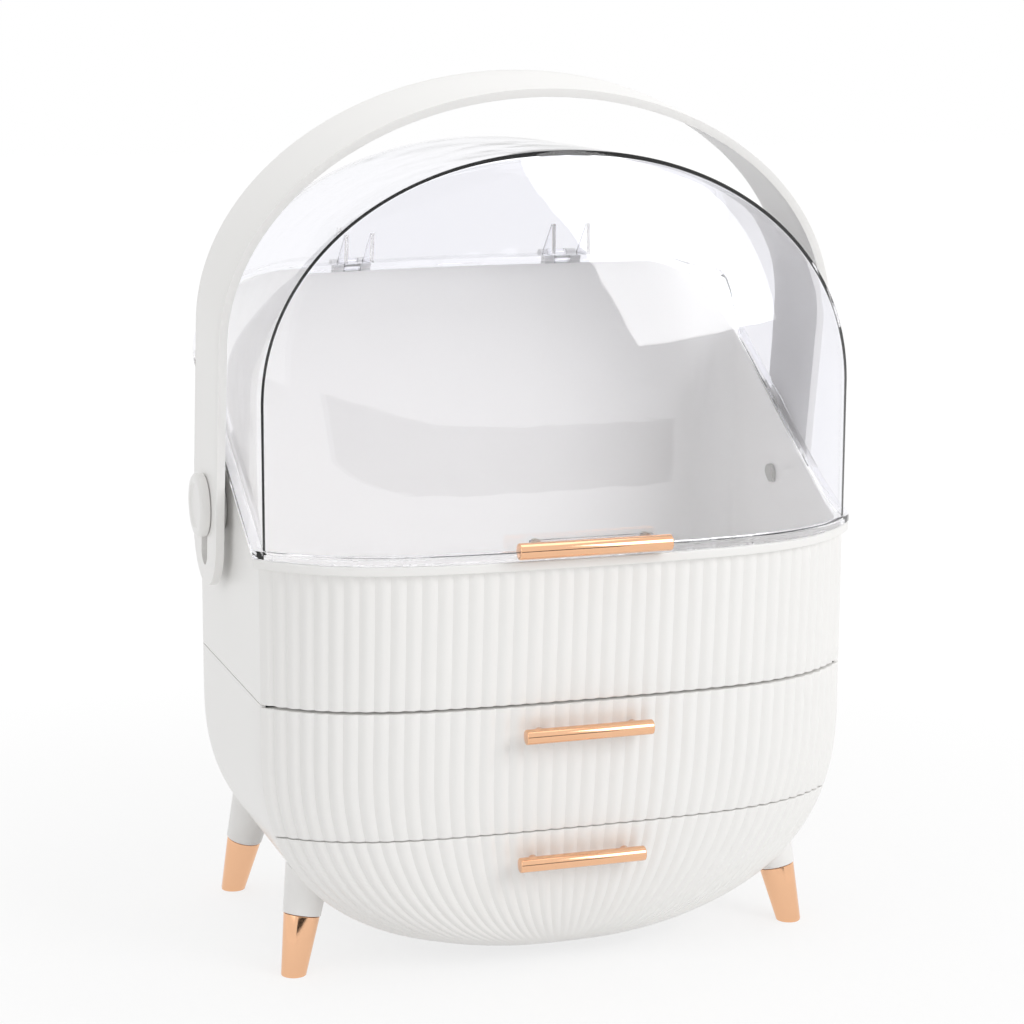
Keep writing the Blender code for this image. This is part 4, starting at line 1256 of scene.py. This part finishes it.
def plane_mesh(width, height, matrix):
    mesh = bmesh.new()
    bmesh.ops.create_grid(mesh, x_segments=1, y_segments=1, size=0.5)
    bmesh.ops.scale(mesh, vec=(width, height, 1.0), verts=mesh.verts)
    bmesh.ops.transform(mesh, matrix=matrix, verts=mesh.verts)
    return mesh


def seen_directly(tree):
    """1 for rays from the camera, from gloss and through clear plastic, and 0 for light on matt surfaces."""
    path = add_node(tree, "ShaderNodeLightPath").outputs
    first = add_node(tree, "ShaderNodeMath", {0: path["Is Camera Ray"], 1: path["Is Glossy Ray"]},
                     operation="MAXIMUM")
    second = add_node(tree, "ShaderNodeMath", {0: first.outputs[0], 1: path["Is Transmission Ray"]},
                      operation="MAXIMUM")
    return second.outputs[0]


def aimed(place, target):
    direction = Vector(target) - Vector(place)
    return Matrix.Translation(place) @ direction.to_track_quat("-Z", "Y").to_matrix().to_4x4()


class ORGANIZER_OT_stage(bpy.types.Operator):
    """Sets up the white floor, the white room, the soft lights, the dark card and the camera"""
    bl_idname = "organizer.stage"
    bl_label = "Studio"

    def execute(self, context):
        self.make_floor(context)
        self.make_world(context)
        self.make_lights(context)
        self.make_card()
        self.make_camera(context)
        context.scene.view_settings.view_transform = "Standard"
        return {"FINISHED"}

    def make_floor(self, context):
        floor = add_object("studio_floor", plane_mesh(floor_size, floor_size, Matrix.Identity(4)))
        material = bpy.data.materials.new("White studio floor")
        material.use_nodes = True
        tree = material.node_tree
        colour = (*context.scene.organizer_colours.floor, 1.0)
        matt = add_node(tree, "ShaderNodeBsdfDiffuse", {"Color": colour})
        glow = add_node(tree, "ShaderNodeEmission", {"Strength": floor_glow})
        # The glow takes over away from the object, so that the floor ends in the same white as the room.
        place = add_node(tree, "ShaderNodeTexCoord").outputs["Object"]
        away = add_node(tree, "ShaderNodeVectorMath", {0: place}, operation="LENGTH")
        share = add_node(tree, "ShaderNodeMapRange",
                         {"Value": away.outputs["Value"], "From Min": glow_start, "From Max": glow_end,
                          "To Min": glow_least_share, "To Max": 1.0})
        lit = add_node(tree, "ShaderNodeMath", {0: seen_directly(tree), 1: share.outputs["Result"]},
                       operation="MULTIPLY")
        both = add_node(tree, "ShaderNodeMixShader",
                        {0: lit.outputs[0], 1: matt.outputs[0], 2: glow.outputs[0]})
        tree.links.new(both.outputs[0], tree.nodes["Material Output"].inputs["Surface"])
        floor.data.materials.append(material)

    def make_world(self, context):
        world = bpy.data.worlds.new("White room")
        context.scene.world = world
        world.use_nodes = True
        tree = world.node_tree
        back = tree.nodes["Background"]
        back.inputs["Color"].default_value = (1.0, 1.0, 1.0, 1.0)
        level = context.scene.organizer_studio.room_level
        strength = add_node(tree, "ShaderNodeMapRange", {"Value": seen_directly(tree), "To Min": level,
                                                         "To Max": 1.0})
        tree.links.new(strength.outputs["Result"], back.inputs["Strength"])

    def make_lights(self, context):
        studio = context.scene.organizer_studio
        for name, place, size, power in (("key", key_place, key_size, studio.key_power),
                                         ("fill", fill_place, soft_size, studio.fill_power),
                                         ("top", top_place, soft_size, studio.top_power)):
            light = bpy.data.lights.new(name + "_light", "AREA")
            light.shape = "SQUARE"
            light.size = size
            light.energy = power
            item = bpy.data.objects.new(name + "_light", light)
            item.matrix_world = aimed(place, lamp_target)
            context.scene.collection.objects.link(item)

    def make_card(self):
        material = bpy.data.materials.new("Black card")
        material.use_nodes = True
        shader = material.node_tree.nodes["Principled BSDF"]
        shader.inputs["Base Color"].default_value = (0.02, 0.02, 0.02, 1.0)
        shader.inputs["Roughness"].default_value = 0.9
        card = add_object("front_card", plane_mesh(*card_size, aimed(card_place, card_target)))
        card.data.materials.append(material)
        card.visible_camera = False
        card.visible_diffuse = False
        card.visible_shadow = False

    def make_camera(self, context):
        data = bpy.data.cameras.new("Camera")
        data.lens = context.scene.organizer_studio.lens
        data.sensor_width = 36.0
        camera = bpy.data.objects.new("Camera", data)
        level = math.cos(camera_pitch)
        forward = Vector((math.sin(camera_yaw) * level, math.cos(camera_yaw) * level,
                          -math.sin(camera_pitch)))
        turn = forward.to_track_quat("-Z", "Y").to_matrix().to_4x4() @ Matrix.Rotation(camera_roll, 4, "Z")
        camera.matrix_world = Matrix.Translation(camera_place) @ turn
        context.scene.collection.objects.link(camera)
        context.scene.camera = camera


class ORGANIZER_PT_panel(bpy.types.Panel):
    bl_label = "Makeup Organizer"
    bl_idname = "ORGANIZER_PT_panel"
    bl_space_type = "VIEW_3D"
    bl_region_type = "UI"
    bl_category = "Organizer"

    def draw(self, context):
        for group in ("organizer_sizes", "organizer_colours", "organizer_studio"):
            settings = getattr(context.scene, group)
            box = self.layout.box()
            for name in settings.__annotations__:
                box.prop(settings, name)
        for operator in operators:
            self.layout.operator(operator.bl_idname)


operators = (ORGANIZER_OT_plain_nodes, ORGANIZER_OT_upper_bin, ORGANIZER_OT_lower_shell,
             ORGANIZER_OT_drawer_fronts, ORGANIZER_OT_trays, ORGANIZER_OT_clear_lid, ORGANIZER_OT_pulls,
             ORGANIZER_OT_handle, ORGANIZER_OT_pivots, ORGANIZER_OT_legs, ORGANIZER_OT_stage)
groups = (("organizer_colours", OrganizerColours), ("organizer_sizes", OrganizerSizes),
          ("organizer_studio", OrganizerStudio))


def register():
    for name, group in groups:
        bpy.utils.register_class(group)
        setattr(bpy.types.Scene, name, PointerProperty(type=group))
    for operator in operators:
        bpy.utils.register_class(operator)
    bpy.utils.register_class(ORGANIZER_PT_panel)


def unregister():
    bpy.utils.unregister_class(ORGANIZER_PT_panel)
    for operator in reversed(operators):
        bpy.utils.unregister_class(operator)
    for name, group in reversed(groups):
        delattr(bpy.types.Scene, name)
        bpy.utils.unregister_class(group)


def main():
    register()
    for operator in operators:
        package, name = operator.bl_idname.split(".")
        getattr(getattr(bpy.ops, package), name)()


if __name__ == "__main__":
    main()
